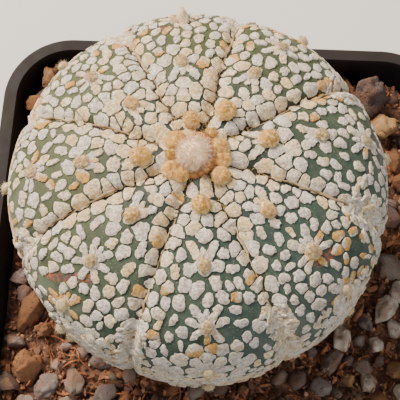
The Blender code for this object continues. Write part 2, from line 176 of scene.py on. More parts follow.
FLAKED = (                          # azimuth in degrees, from and to in mm, flakes, spread in mm, and slant
    (-61, 29, 48, 110, 1.05, 48), (252, 31, 49, 110, 1.1, 52), (206, 33, 50, 50, 1.8, 30),
    (163, 30, 48, 46, 2.0, 30), (-14, 27, 50, 80, 1.7, 40), (34, 29, 48, 30, 1.2, 40),
    (121, 28, 46, 34, 1.5, 40), (78, 28, 46, 26, 1.2, 40), (-38, 35, 54, 90, 4.5, 20),
    (235, 36, 54, 60, 4.0, 20), (-86, 43, 54, 30, 5.0, 20),
)

# Areoles and wool
OLD_AREOLE_RADIUS = 1.05 * MM
YOUNG_AREOLES = (                   # azimuth in degrees, distance from the crown and radius in mm
    (150, 4.4, 1.9), (214, 5.1, 1.8), (-43, 5.4, 1.6), (19, 3.7, 1.75), (-9, 4.1, 1.6), (62, 4.3, 1.0),
    (234, 4.6, 1.4), (182, 4.5, 1.1),
)
TALL_TUFT = (98, 29.7, 1.15, 2.4)   # azimuth in degrees, distance from the crown, radius and height in mm
UP = Vector((0, 0, 1))
AHEAD = Vector((0, 1, 0))
CROWN = PLANT_PLACE + CROWN_HEIGHT * UP

# Stage
CAMERA_TILT, CAMERA_TURN = math.radians(19.12), math.radians(2.43)
CAMERA_SHIFT = (0.0096, -0.0377, 4.432)    # right, up and away from the plant, in the plant's radii
LAMPS = (                           # name, place, size, power and colour
    ("sky", (-0.42, 0.38, 0.64), 0.45, 20, (1.0, 0.885, 0.745)),
    ("fill", (0.5, -0.5, 0.5), 0.6, 3, (1.0, 0.98, 0.95)),
)


# ---------------------------------------------------------------- material maths

class Wire:
    """A node's output, on which Python's operators add Math nodes."""

    def __init__(self, finish, socket):
        self.finish, self.socket = finish, socket

    def math(self, operation, *values):
        return self.finish.add("ShaderNodeMath", {"operation": operation}, dict(enumerate(values)))

    def __add__(self, other):
        return self.math("ADD", self, other)

    def __sub__(self, other):
        return self.math("SUBTRACT", self, other)

    def __rsub__(self, other):
        return self.math("SUBTRACT", other, self)

    def __mul__(self, other):
        return self.math("MULTIPLY", self, other)

    __radd__ = __add__
    __rmul__ = __mul__

    def ramp(self, low, high):
        """0 below low, 1 above high, and smooth between; low may be the larger."""
        values = {"Value": self, "From Min": low, "From Max": high}
        return self.finish.add("ShaderNodeMapRange", {"interpolation_type": "SMOOTHSTEP"}, values)

    def mixed(self, first, second):
        """The first colour where this is 0, the second where it is 1."""
        values = {0: self, 6: first, 7: second}
        return self.finish.add("ShaderNodeMix", {"data_type": "RGBA"}, values, output=2)


class Finish:
    """A Principled material, with one method that adds every other node."""

    def __init__(self, name, roughness=0.95, colour=(0.5, 0.5, 0.5), sheen=0.0):
        self.material = bpy.data.materials.new(name)
        self.material.use_nodes = True
        self.tree = self.material.node_tree
        self.shader = self.tree.nodes["Principled BSDF"]
        self.paint(colour)
        self.feed("Roughness", roughness)
        self.feed("Sheen Weight", sheen)

    def put(self, socket, value):
        if isinstance(value, Wire):
            self.tree.links.new(value.socket, socket)
        elif isinstance(value, (tuple, list)) and len(socket.default_value) == 4 and len(value) == 3:
            socket.default_value = (*value, 1)
        else:
            socket.default_value = value

    def feed(self, name, value):
        self.put(self.shader.inputs[name], value)

    def paint(self, colour):
        self.colour = colour
        self.feed("Base Color", colour)

    def coat(self, mask, colour):
        """Lays a colour over the paint where the mask is 1."""
        self.paint(mask.mixed(self.colour, colour))

    def add(self, kind, settings=None, values=None, output=0):
        node = self.tree.nodes.new(kind)
        for name, value in (settings or {}).items():
            setattr(node, name, value)
        for name, value in (values or {}).items():
            self.put(node.inputs[name], value)
        return Wire(self, node.outputs[output])

    def place(self):
        return self.add("ShaderNodeTexCoord", output=3)

    def attribute(self, name):
        return self.add("ShaderNodeAttribute", {"attribute_name": name}, output=2)

    def noise(self, scale, detail=3, roughness=0.55):
        values = {"Vector": self.place(), "Scale": scale, "Detail": detail, "Roughness": roughness}
        return self.add("ShaderNodeTexNoise", values=values)

    def cells(self, scale):
        return self.add("ShaderNodeTexVoronoi", values={"Vector": self.place(), "Scale": scale})

    def axis(self, name):
        return self.add("ShaderNodeSeparateXYZ", values={0: self.place()}, output="XYZ".index(name))

    def corkiness(self, low):
        """How corky the plant's side is: in patches from its widest level down."""
        below = self.axis("Z").ramp(PLANT_PLACE.z, PLANT_PLACE.z - CORK_DEPTH)
        return below * self.noise(260, 4).ramp(low, 0.6)

    def bump(self, height, strength, distance):
        values = {"Height": height, "Strength": strength, "Distance": distance}
        self.feed("Normal", self.add("ShaderNodeBump", values=values))


# ---------------------------------------------------------------- building blocks

class Heap:
    """A piece gathered shape by shape, with a number at each point for each value its finish reads."""

    def __init__(self, name, *values):
        self.name, self.points, self.faces = name, [], []
        self.values = {key: [] for key in values}

    def add(self, points, faces, **values):
        """Adds a shape. Each value is one number for the whole shape, or one for each point."""
        first = len(self.points)
        self.points += [tuple(point) for point in points]
        self.faces += [tuple(first + corner for corner in face) for face in faces]
        for key, value in values.items():
            self.values[key] += list(np.broadcast_to(value, len(points)))

    def piece(self, crisp=0):
        """The finished piece, with its edges sharp past the angle crisp, in degrees, where one is given."""
        mesh = bpy.data.meshes.new(self.name)
        mesh.from_pydata(self.points, [], self.faces)
        for key, value in self.values.items():
            add_value(mesh, key, value)
        mesh.update()
        mesh.shade_smooth()
        if crisp:
            mesh.set_sharp_from_angle(angle=math.radians(crisp))
        piece = bpy.data.objects.new(self.name, mesh)
        bpy.context.scene.collection.objects.link(piece)
        return piece


def add_value(mesh, key, value):
    mesh.attributes.new(key, "FLOAT", "POINT").data.foreach_set("value", np.asarray(value, np.float32))


def ball(detail, radius=1):
    """A ball's points and faces."""
    bm = bmesh.new()
    bmesh.ops.create_icosphere(bm, subdivisions=detail, radius=radius)
    points = [vert.co.copy() for vert in bm.verts]
    faces = [tuple(vert.index for vert in face.verts) for face in bm.faces]
    bm.free()
    return points, faces


def ring(middle, side, across, spread, sides):
    """Points round a middle, at a distance from it."""
    turns = [corner * TURN / sides for corner in range(sides)]
    return [middle + (side * math.cos(turn) + across * math.sin(turn)) * spread for turn in turns]


def closed_faces(rings, sides, tip=False):
    """Faces over points that run round ring after ring, with a flat end, or one drawn to a last point."""
    faces = [tuple(reversed(range(sides)))]
    for low in range(0, (rings - 1) * sides, sides):
        for side in range(sides):
            here, after = low + side, low + (side + 1) % sides
            faces.append((here, after, after + sides, here + sides))
    top = (rings - 1) * sides
    if tip:
        return faces + [(top + side, top + (side + 1) % sides, top + sides) for side in range(sides)]
    return faces + [tuple(range(top, top + sides))]


def some_vector(draw, reach):
    return Vector([draw.uniform(-reach, reach) for _ in range(3)])


def some_way(draw):
    return Vector([draw.gauss(0, 1) for _ in range(3)])


HAIR_STEPS = (0, 0.4, 0.75)         # where a hair's rings lie along it
HAIR_FACES = closed_faces(len(HAIR_STEPS), 3, tip=True)
PAD_FACES = closed_faces(len(PAD_RINGS), FLECK_SIDES, tip=True)
PAD_EDGES = [edge for *_, edge in PAD_RINGS for _ in range(FLECK_SIDES)] + [0.0]


# ---------------------------------------------------------------- plant side

def plant_side():
    """Distances along the skin from the crown, with the radius, the height and the flat map's reach."""
    turn = np.linspace(0.002, math.pi - 0.002, 6000)
    power = 2 / FULLNESS
    radius = PLANT_RADIUS * np.sin(turn) ** power
    depth = np.where(turn < math.pi / 2, CROWN_HEIGHT, BODY_DEPTH)
    height = depth * np.sign(np.cos(turn)) * np.abs(np.cos(turn)) ** power
    kept = (turn < math.pi / 2) | (radius > 4 * MM)
    radius, height = radius[kept], height[kept]
    arc = radius[0] + np.concatenate(([0], np.cumsum(np.hypot(np.diff(radius), np.diff(height)))))
    stretch = np.diff(arc) / (0.5 * (radius[1:] + radius[:-1]))
    reach = arc[0] * np.exp(np.concatenate(([0], np.cumsum(stretch))))
    return arc, radius, height, reach


ARCS, RADII, HEIGHTS, REACHES = plant_side()
GROOVES = np.radians([rib[0] for rib in RIBS])
RIB_ENDS = np.append(GROOVES[1:], GROOVES[0] + TURN)


def radius_at(arc):
    return np.interp(arc, ARCS, RADII)


def height_at(arc):
    return np.interp(arc, ARCS, HEIGHTS)


def rib_of(azimuth):
    """The rib's number at each azimuth, and how far across it that lies, from 0 to 1."""
    turned = GROOVES[0] + np.mod(azimuth - GROOVES[0], TURN)
    number = np.clip(np.searchsorted(GROOVES, turned, side="right") - 1, 0, len(RIBS) - 1)
    return number, (turned - GROOVES[number]) / (RIB_ENDS - GROOVES)[number]


def rib_at(spot):
    return int(rib_of(np.array([float(np.angle(spot))]))[0][0])


def off_groove(arc, azimuth):
    """About how far a place lies from the nearest groove, along the skin."""
    across = rib_of(azimuth)[1]
    return radius_at(arc) * RIB_TURN * np.minimum(across, 1 - across)


def on_skin(arc, azimuth, lift=0.0):
    """Points on the ribbed skin, raised by lift, in the part's frame."""
    radius, height = radius_at(arc), height_at(arc)
    step = 0.3 * MM
    run = radius_at(arc + step) - radius_at(arc - step)
    fall = height_at(arc + step) - height_at(arc - step)
    length = np.hypot(run, fall)
    number, across = rib_of(azimuth)
    width = radius * (RIB_ENDS - GROOVES)[number]
    from_groove = width * np.minimum(across, 1 - across)
    grown = np.clip((arc - GROOVES_START) / (GROOVES_FULL - GROOVES_START), 0, 1)
    sunk = GROOVE_DEPTH * np.exp(-(from_groove / GROOVE_HALF_WIDTH) ** 2)
    lift = lift - grown * (sunk + RIB_SWELL * (2 * across - 1) ** 2)
    spread = radius - lift * fall / length
    along_z = height + lift * run / length
    points = np.stack((spread * np.cos(azimuth), spread * np.sin(azimuth), along_z), -1)
    return points + np.array(PLANT_PLACE)


def outward_at(arc, azimuth):
    """A point on the skin, and the way out of it."""
    low, high = (Vector(on_skin(np.array([arc]), np.array([azimuth]), lift)[0]) for lift in (0.0, MM))
    return low, (high - low).normalized()


def to_map(arc, azimuth):
    return np.interp(arc, ARCS, REACHES) * np.exp(1j * np.asarray(azimuth))


def from_map(spot):
    return np.interp(np.abs(spot), REACHES, ARCS), np.angle(spot)


def map_scale(spot):
    """Length on the flat map for a unit of length on the skin, at a spot."""
    return np.abs(spot) / radius_at(from_map(spot)[0])


# ---------------------------------------------------------------- flecks

def areole_places():
    """Areoles down each rib's crest, as (arc, azimuth)."""
    places = []
    for start, end, (_, lean, first, spacing) in zip(GROOVES, RIB_ENDS, RIBS):
        for arc in np.arange(first, FLECK_END / MM - 2, spacing) * MM:
            inward = max(0, 1 - arc / (1.2 * PLANT_RADIUS))
            places.append((float(arc), float(0.5 * (start + end) + math.radians(lean) * inward)))
    return places


class Fleck:
    """One cell's centre on the flat map, and how the pad in it is cut."""

    def __init__(self, spot, kind, long=2.2 * MM, wide=2.2 * MM, along=0.0, prong=None):
        self.spot, self.kind, self.prong = spot, kind, prong
        self.long, self.wide, self.along = long, wide, along


def crusted(arc, azimuth):
    """Whether the flecks at a place have run together into a crust."""
    radius = float(radius_at(arc))
    for turn, start, half_width in CRUSTS:
        off = abs(math.remainder(azimuth - math.radians(turn), TURN)) * radius
        if off < half_width * MM and arc > start * MM + 0.5 * off:
            return True
    return arc > OLD_SKIN_ARC + (3 * math.sin(3 * azimuth) + 2.5 * math.sin(8 * azimuth + 1)) * MM


def crowd_end(azimuth):
    """How far from the crown the flecks stay pressed together: further at the back and left."""
    return (18 + 3 * math.cos(azimuth - PALE_SIDE)) * MM


def petals(areole, spot, draw):
    """Flecks set round an areole: two prongs that open towards the crown, and broad ones beside."""
    arc, azimuth = from_map(spot)
    scale = map_scale(spot)
    inward = azimuth + math.pi

    def beside(distance, direction):
        return spot + distance * MM * scale * np.exp(1j * direction)

    found = []
    turns = [(side * draw.uniform(85, 110), 1.0) for side in (-1, 1) if draw.random() < 0.3]
    if arc > STROKES_FROM:
        turns = [(turn + draw.uniform(-12, 12), 0.6) for turn in STROKE_TURNS]
    if arc > 12 * MM:
        fork, reach = math.radians(draw.uniform(25, 35)), draw.uniform(0.85, 1.1)
        found.append(Fleck(beside(2.1, inward), "petal", 0.9 * MM, 0.5 * MM, inward, (areole, 0)))
        for side in (-1, 1):
            direction = inward + side * fork
            for away, long, wide in PRONG:
                wide *= draw.uniform(0.85, 1.15)
                found.append(Fleck(beside(reach * away, direction), "petal", reach * long * MM, wide * MM,
                                   direction, (areole, side)))
    else:
        turns += [(draw.uniform(-50, 50), 1.1), (draw.uniform(150, 210), 1.1)]
    for turn, breadth in turns:
        direction = inward + math.radians(turn)
        centre = beside(draw.uniform(2.1, 2.6), direction)
        wide = breadth * draw.uniform(0.9, 1.25) * MM
        found.append(Fleck(centre, "petal", draw.uniform(1.4, 1.9) * MM, wide, direction))
    return found


def scatter_flecks(draw):
    """Flecks in rows across each rib, smaller and closer near the crown."""
    marks, pitches = zip(*FLECK_PITCH)
    flecks = []
    for start, end in zip(GROOVES, RIB_ENDS):
        arc = FLECK_START
        while arc < FLECK_END:
            pitch = MM * float(np.interp(arc / MM, marks, pitches))
            inner = arc < crowd_end(0.5 * (start + end))
            width = float(radius_at(arc)) * (end - start)
            count = max(2, round(width / (pitch * (1.0 if inner else 0.86))))
            for column in range(count):
                edge = column in (0, count - 1)
                play = 0.2 if edge else 0.28
                across = (column + 0.5 + draw.uniform(-play, play)) / count
                shift = 0.5 * (column % 2) + draw.uniform(-0.32, 0.32)
                azimuth = start + (end - start) * across
                spot = complex(to_map(arc + shift * pitch, azimuth))
                crowded = edge or inner or crusted(arc, azimuth)
                lean = 0.98 - 0.13 * math.cos(azimuth + math.radians(40))
                long = (draw.uniform(1.7, 2.6) if crowded else lean * draw.uniform(1.1, 1.85)) * MM
                wide = long * (draw.uniform(0.7, 1.0) if crowded else draw.uniform(0.42, 0.8))
                along = np.angle(spot) + draw.gauss(0, 0.45 if inner else 0.25)
                flecks.append(Fleck(spot, "edge" if edge else "fleck", long, wide, along))
            arc += (0.93 if inner else 1.12) * pitch
    return flecks


def neighbours_of(cells):
    """For each cell, the numbers of the cells that touch it."""
    spots = [Vector((cell.spot.real, cell.spot.imag)) for cell in cells]
    near = [set() for _ in spots]
    for a, b, c in delaunay_2d_cdt(spots, [], [], 0, 1e-9)[2]:
        near[a] |= {b, c}
        near[b] |= {a, c}
        near[c] |= {a, b}
    return [sorted(group) for group in near]


def lay_out_flecks(draw):
    """Every cell of the plant's cover: areoles, the petals round them, and the flecks between."""
    set_ones = [Fleck(complex(to_map(arc * MM, math.radians(turn))), "areole")
                for turn, arc, _ in YOUNG_AREOLES]
    older = []
    for arc, azimuth in areole_places():
        long = draw.uniform(2.2, 2.7) * MM
        wide = long * draw.uniform(0.68, 0.8)
        older.append(Fleck(complex(to_map(arc, azimuth)), "base", long, wide, azimuth))
    set_ones += older
    for number, areole in enumerate(older):
        set_ones += petals(number, areole.spot, draw)
    cells = [Fleck(0j, "wool")] + set_ones + clear_of(set_ones, older, scatter_flecks(draw))
    fill_gaps(cells, draw)
    settle(cells)
    return cells


def clear_of(set_ones, older, flecks):
    """The flecks that leave room for the areoles and petals, those round an old areole pointing at it."""
    middles = np.array([cell.spot for cell in set_ones])
    scales = np.array([map_scale(spot) for spot in middles])
    turns = np.exp(-1j * np.array([float(cell.along) for cell in set_ones]))
    oval = np.array([cell.kind == "petal" for cell in set_ones])
    clear = np.array([AREOLE_ROOM.get(cell.kind, 0) for cell in set_ones])
    longs = np.where(oval, [cell.long + PETAL_ROOM for cell in set_ones], clear)
    wides = np.where(oval, [cell.wide + PETAL_ROOM for cell in set_ones], clear)
    rayed = np.array([areole.spot for areole in older if from_map(areole.spot)[0] > STROKES_FROM])
    kept = []
    for fleck in flecks:
        offset = (fleck.spot - middles) / scales * turns
        if np.min(np.hypot(offset.real / longs, offset.imag / wides)) > 1:
            away = fleck.spot - rayed[np.argmin(np.abs(rayed - fleck.spot))]
            if fleck.kind == "fleck" and abs(away) < 5.5 * MM * map_scale(fleck.spot):
                fleck.along = np.angle(away)
                fleck.long, fleck.wide = 1.35 * fleck.long, 0.95 * fleck.wide
            kept.append(fleck)
    return kept


def fill_gaps(cells, draw):
    """Sets small flecks wherever they find room above the plant's shoulder."""
    for _ in range(FILLERS):
        arc = FLECK_START + (CRUST_ARC - FLECK_START) * math.sqrt(draw.random())
        spot = complex(to_map(arc, draw.uniform(0, TURN)))
        apart = np.min(np.abs(np.array([cell.spot for cell in cells]) - spot)) / map_scale(spot)
        if apart > (1.5 if arc < CLOSE_FILLERS else 1.75) * MM:
            long = draw.uniform(1.0, 1.7) * MM
            cells.append(Fleck(spot, "fleck", long, long * draw.uniform(0.6, 1.0), draw.uniform(0, 3)))


def settle(cells):
    """Draws each free fleck a few times towards the middle of its neighbours."""
    for _ in range(4):
        moved = []
        for cell, group in zip(cells, neighbours_of(cells)):
            middle = sum(cells[other].spot for other in group) / len(group)
            arc = from_map(cell.spot)[0]
            share = 0.35 if arc < 22 * MM else 0.15
            free = cell.kind == "fleck" and arc < FLECK_END
            moved.append(cell.spot + share * (middle - cell.spot) if free else cell.spot)
        for cell, spot in zip(cells, moved):
            cell.spot = spot


def fleck_gap(arc, kind, loose, draw):
    """Half the strip of bare skin that a fleck leaves beside its neighbour."""
    if kind in ("edge", "petal", "base") or arc < 19 * MM:
        return draw.uniform(0.06, 0.14) * MM
    return (draw.uniform(0.08, 0.2) if loose else draw.uniform(-0.1, 0.12)) * MM


def fleck_outline(cell, cells, group, partners, draw):
    """The pad's reach from its middle, in FLECK_SIDES directions, kept inside its cell and its own oval."""
    scale = map_scale(cell.spot)
    arc = float(from_map(cell.spot)[0])
    angle = np.arange(FLECK_SIDES) * TURN / FLECK_SIDES + draw.uniform(0, 0.39)
    phase = [draw.uniform(0, TURN) for _ in range(3)]
    rough = 0.09 * np.cos(2 * angle + phase[0]) + 0.08 * np.cos(3 * angle + phase[1])
    rough += 0.05 * np.cos(5 * angle + phase[2])
    rough += np.array([draw.uniform(-0.07, 0.07) for _ in range(FLECK_SIDES)])
    lean = angle - cell.along
    azimuth = float(np.angle(cell.spot))
    loose, rib = not crusted(arc, azimuth), rib_at(cell.spot)
    inner = arc < crowd_end(azimuth) and cell.kind in ("fleck", "edge")
    grow = (1.5 if not loose else 1.3 if inner else 1.0) * (1 + rough)
    bend = 1.35 if cell.kind == "base" else 2.2
    oval = (np.abs(np.cos(lean) / (grow * cell.long)) ** bend
            + np.abs(np.sin(lean) / (grow * cell.wide)) ** bend) ** (1 / bend)
    total = oval ** CELL_SHARPNESS
    for number in group:
        other = cells[number]
        offset = (other.spot - cell.spot) / scale
        gap = -0.15 * MM if number in partners else fleck_gap(arc, cell.kind, loose, draw)
        if loose and rib_at(other.spot) != rib:
            gap = draw.uniform(0.1, 0.24) * MM
        if other.kind in ("areole", "wool"):
            gap = -1.0 * MM
        same_prong = cell.prong and cell.prong == other.prong
        if cell.prong and other.prong and not same_prong and cell.prong[0] == other.prong[0]:
            gap = -0.1 * MM
        if same_prong or {cell.kind, other.kind} == {"petal", "base"}:
            gap = -0.35 * MM
        half = max(0.3 * MM, 0.5 * abs(offset) - gap)
        total += (np.clip(np.cos(angle - np.angle(offset)), 0, None) / half) ** CELL_SHARPNESS
    reach = total ** (-1 / CELL_SHARPNESS)
    notches = np.array([0.22 * draw.random() ** 3 + draw.uniform(-0.055, 0.055) for _ in range(FLECK_SIDES)])
    return angle, reach * (1.04 - notches)


def fleck_pad(cell, angle, reach, height, draw):
    """The pad's points, ring by ring, and its middle."""
    scale = map_scale(cell.spot)
    points = []
    for share, lift, _ in PAD_RINGS:
        wave = np.array([draw.uniform(-0.2, 0.2) for _ in angle]) * height * (lift > 0)
        arc, azimuth = from_map(cell.spot + share * reach * scale * np.exp(1j * angle))
        points.append(on_skin(arc, azimuth, lift * height + wave))
    points.append(on_skin(*from_map(np.array([cell.spot])), height))
    return np.concatenate(points)


def fleck_partners(cells, near, draw):
    """Pairs of neighbouring flecks that have grown together."""
    partners = [set() for _ in cells]
    for number, (cell, group) in enumerate(zip(cells, near)):
        near_crown = abs(from_map(cell.spot)[0]) < 24 * MM
        chance = 0.42 if near_crown else 0.4 if cell.kind == "edge" else 0.22
        if cell.kind in ("fleck", "edge") and draw.random() < chance:
            same = [other for other in group if cells[other].kind == cell.kind]
            if same:
                other = draw.choice(same)
                partners[number].add(other)
                partners[other].add(number)
    return partners


def creaminess(arc, azimuth, draw):
    """How cream-coloured a fleck is: most so near the crown and beside the grooves, and on the pale side,
    where the extra cream is painted warm light.
    """
    share = 0.45 * np.exp(-(arc / (19 * MM)) ** 2)
    share = share + 0.4 * np.exp(-(off_groove(arc, azimuth) / (2.2 * MM)) ** 2)
    # the cosine term makes the pale side creamier: painted warm light from that side
    share += 0.17 * (1 + np.cos(azimuth - PALE_SIDE)) + 0.25 * np.clip((arc / MM - 33) / 8, 0, 1)
    return float(np.clip(share[0] + draw.gauss(-0.12, 0.32), 0, 1))


def scarring(arc, azimuth):
    """How brown and stippled a place is, from 0 to 1."""
    spot = to_map(arc, azimuth)
    found = np.zeros(np.shape(spot))
    for first_arc, first_turn, last_arc, last_turn, half_width in SCARS:
        first = to_map(first_arc * MM, math.radians(first_turn))
        last = to_map(last_arc * MM, math.radians(last_turn))
        share = np.clip(((spot - first) * np.conj(last - first)).real / abs(last - first) ** 2, 0, 1)
        off = np.abs(spot - first - share * (last - first)) / map_scale(first)
        found = np.maximum(found, np.exp(-(off / (half_width * MM)) ** 2))
    return found


def rustiness(arc, azimuth, draw):
    """How ochre a fleck's worn side is: a few are, more of them near the plant's marked spots."""
    here = complex(to_map(arc, azimuth)[0])
    for place, turn, reach in OCHRE_SPOTS:
        spot = complex(to_map(place * MM, math.radians(turn)))
        if abs(here - spot) < reach * MM * map_scale(spot) and draw.random() < 0.75:
            return draw.uniform(0.7, 1.0)
    share = 0.045 + 0.03 * math.cos(azimuth[0] - PALE_SIDE)
    return draw.uniform(0.5, 1.0) if draw.random() < share else 0.0


def bareness(cell, arc, azimuth):
    """The chance that a cell has lost its fleck: a few have, most of them along the scars."""
    worn = 0.8 * scarring(arc, azimuth)[0]
    if cell.kind == "fleck" and 16 * MM < arc[0] < CRUST_ARC:
        return max(worn, 0.035 + 0.035 * math.cos(azimuth[0] + math.radians(45)))
    return worn


def build_flecks(draw):
    """One piece for each rib's flecks."""
    cells = lay_out_flecks(draw)
    near = neighbours_of(cells)
    partners = fleck_partners(cells, near, draw)
    ribs = [Heap(f"flecks_{name}", *FLECK_VALUES) for name in RIB_NAMES]
    for number, cell in enumerate(cells):
        arc, azimuth = from_map(np.array([cell.spot]))
        if cell.kind in ("areole", "wool") or draw.random() < bareness(cell, arc, azimuth):
            continue
        angle, reach = fleck_outline(cell, cells, near[number], partners[number], draw)
        height = draw.uniform(0.18, 0.34) * MM * (1 if arc[0] < CRUST_ARC else 0.65)
        points = fleck_pad(cell, angle, reach, height, draw)
        tint, cream = draw.random(), creaminess(arc, azimuth, draw)
        worn_side = 0.65 + 0.35 * np.cos(np.tile(angle, len(PAD_RINGS)) - draw.uniform(0, TURN))
        rust = np.append(worn_side, 0.65) * rustiness(arc, azimuth, draw)
        ribs[rib_at(cell.spot)].add(points, PAD_FACES, edge=PAD_EDGES, tint=tint, cream=cream, rust=rust)
    return [rib.piece(crisp=48) for rib in ribs]


def build_flakes(draw):
    """Crusty flakes that bridge the grooves where the plant's side turns down."""
    flakes = Heap("rib_flakes", *FLECK_VALUES)
    for turn, start, end, number, spread, slant in FLAKED:
        for _ in range(number):
            arc = draw.uniform(start, end) * MM
            off = draw.gauss(0, spread) * MM
            azimuth = math.radians(turn) + off / float(radius_at(arc))
            lean = math.copysign(math.radians(slant), off) + draw.gauss(0, 0.3)
            long = draw.uniform(0.7, 1.5) * MM
            wide = long * draw.uniform(0.25, 0.5)
            cell = Fleck(complex(to_map(arc, azimuth)), "flake", long, wide, azimuth + lean)
            angle, reach = fleck_outline(cell, [], [], (), draw)
            points = fleck_pad(cell, angle, reach, draw.uniform(0.22, 0.5) * MM, draw)
            flakes.add(points, PAD_FACES, edge=PAD_EDGES, tint=draw.random(), cream=draw.uniform(0.0, 0.6),
                       rust=0.9 * (draw.random() < 0.03))
    return flakes.piece()


# ---------------------------------------------------------------- skin, areoles and wool

def select_only(piece):
    bpy.ops.object.select_all(action="DESELECT")
    piece.select_set(True)
    bpy.context.view_layer.objects.active = piece


def put_in_order(mesh):
    """Sorts a globe's faces by their corners, since Blender lists them in another order each time."""
    bm = bmesh.new()
    bm.from_mesh(mesh)
    corners = [sorted(vert.index for vert in face.verts) for face in bm.faces]
    numbers = sorted(range(len(corners)), key=corners.__getitem__)
    rank = {number: place for place, number in enumerate(numbers)}
    bm.faces.sort(key=lambda face: rank[face.index])
    bm.to_mesh(mesh)
    bm.free()


def build_skin():
    """A globe whose rings are drawn to the plant's side and ribs."""
    bpy.ops.object.select_all(action="DESELECT")
    bpy.ops.mesh.primitive_uv_sphere_add(segments=288, ring_count=172, radius=1)
    skin = bpy.context.object
    skin.name = skin.data.name = "skin"
    put_in_order(skin.data)
    place = np.empty(len(skin.data.vertices) * 3)
    skin.data.vertices.foreach_get("co", place)
    place = place.reshape(-1, 3)
    share = np.arccos(np.clip(place[:, 2], -1, 1)) / math.pi
    azimuth = np.arctan2(place[:, 1], place[:, 0])
    arc = ARCS[0] + share * (ARCS[-1] - ARCS[0])
    points = on_skin(arc, azimuth)
    points[share < 1e-4] = CROWN
    points[share > 1 - 1e-4] = PLANT_PLACE - BODY_DEPTH * UP
    skin.data.vertices.foreach_set("co", points.ravel())
    add_value(skin.data, "scar", scarring(arc, azimuth))
    # the skin finish reads age for painted shade near the crown
    add_value(skin.data, "age", arc / AGE_REACH)
    # the skin finish reads groove for painted shade along the grooves
    add_value(skin.data, "groove", np.exp(-(off_groove(arc, azimuth) / (0.7 * MM)) ** 2))
    skin.data.update()
    skin.data.shade_smooth()
    return skin


def build_threads(draw):
    """The raised dry thread in each groove: a thin six-sided cord that wanders and thins out."""
    threads = Heap("groove_threads")
    sides = 6
    for groove in GROOVES:
        arcs = np.arange(7.5, 70, 0.45) * MM
        wander = np.cumsum([draw.gauss(0, 0.1) for _ in arcs])
        wander = 0.42 * MM * np.sin(wander * 2.2) / radius_at(arcs)
        points = []
        for arc, off in zip(arcs, wander):
            swell = max(0, 0.4 + 1.3 * noise.noise(Vector((arc * 210, groove * 7, 0))))
            thickness = (0.08 + 0.2 * swell) * MM * min(1, max(0.1, (arc - 9.5 * MM) / (6 * MM)))
            for corner in range(sides):
                turn = corner * TURN / sides
                across = off + thickness * math.cos(turn) / radius_at(arc)
                lift = 0.1 * MM + thickness * (1.5 * math.sin(turn) + 0.6)
                points.append(on_skin(np.array([arc]), np.array([groove + across]), lift)[0])
        threads.add(points, closed_faces(len(arcs), sides))
    return threads.piece()


class Felt(Heap):
    """Felt and hair, with each point's age and how near the top of its tuft it is."""

    def __init__(self, name):
        super().__init__(name, "age", "core")

    def dome(self, arc, centre, outward, size, detail, draw, roughness, downhill=AHEAD, core=None):
        """An uneven ball, sized across, downhill and outward. Gives the places where hairs may root."""
        offset = some_vector(draw, 50)
        across = downhill.cross(outward).normalized()
        turn = Matrix((across, outward.cross(across), outward)).transposed()
        points, cores = [], []
        places, faces = ball(detail)
        for place in places:
            direction = place.normalized()
            swell = 1 + roughness * noise.noise(direction * 1.7 + offset)
            swell += 0.12 * roughness * noise.noise(direction * 7 + offset)
            points.append(centre + turn @ (direction * swell * Vector(size)))
            cores.append(direction.z)
        self.add(points, faces, age=arc / AGE_REACH, core=cores if core is None else core)
        return list(zip(points, cores))

    def hair(self, arc, core, root, outward, length, thickness, draw):
        """One tapering, slightly curled hair with three sides."""
        side = outward.orthogonal().normalized()
        side.rotate(Matrix.Rotation(draw.uniform(0, TURN), 3, outward))
        curl = draw.uniform(0.05, 0.5) * length
        across = outward.cross(side)
        points = []
        for step, share in enumerate(HAIR_STEPS):
            middle = root + outward * (length * share) + side * (curl * share ** 2)
            points += ring(middle, side, across, thickness * (1 - 0.3 * step), 3)
        points.append(root + outward * (length * 0.96) + side * curl)
        self.add(points, HAIR_FACES, age=arc / AGE_REACH, core=core)

    def hairs(self, arc, roots, centre, lowest, count, length, thickness, draw):
        """Hairs standing out of a dome where its core value is above lowest, leaning away from its middle."""
        roots = [(point, core) for point, core in roots if core > lowest]
        for _ in range(count):
            root, core = draw.choice(roots)
            outward = (root - centre).normalized()
            outward += some_vector(draw, 0.85)
            reach = length * draw.uniform(0.5, 1.1)
            self.hair(arc, core, root, outward.normalized(), reach, thickness, draw)


def areole_size(arc, draw):
    """Across, downhill and outward: balls by the crown, small ovals along the rib, then woolly lumps."""
    young = float(np.clip((20 * MM - arc) / (10 * MM), 0, 1))
    radius = (OLD_AREOLE_RADIUS + 0.55 * MM * young) * draw.uniform(0.9, 1.12)
    long = radius * (1.3 - 0.25 * young)
    return radius, long, radius * (draw.uniform(0.7, 1.0) if arc > CRUST_ARC else 0.55 + 0.25 * young)


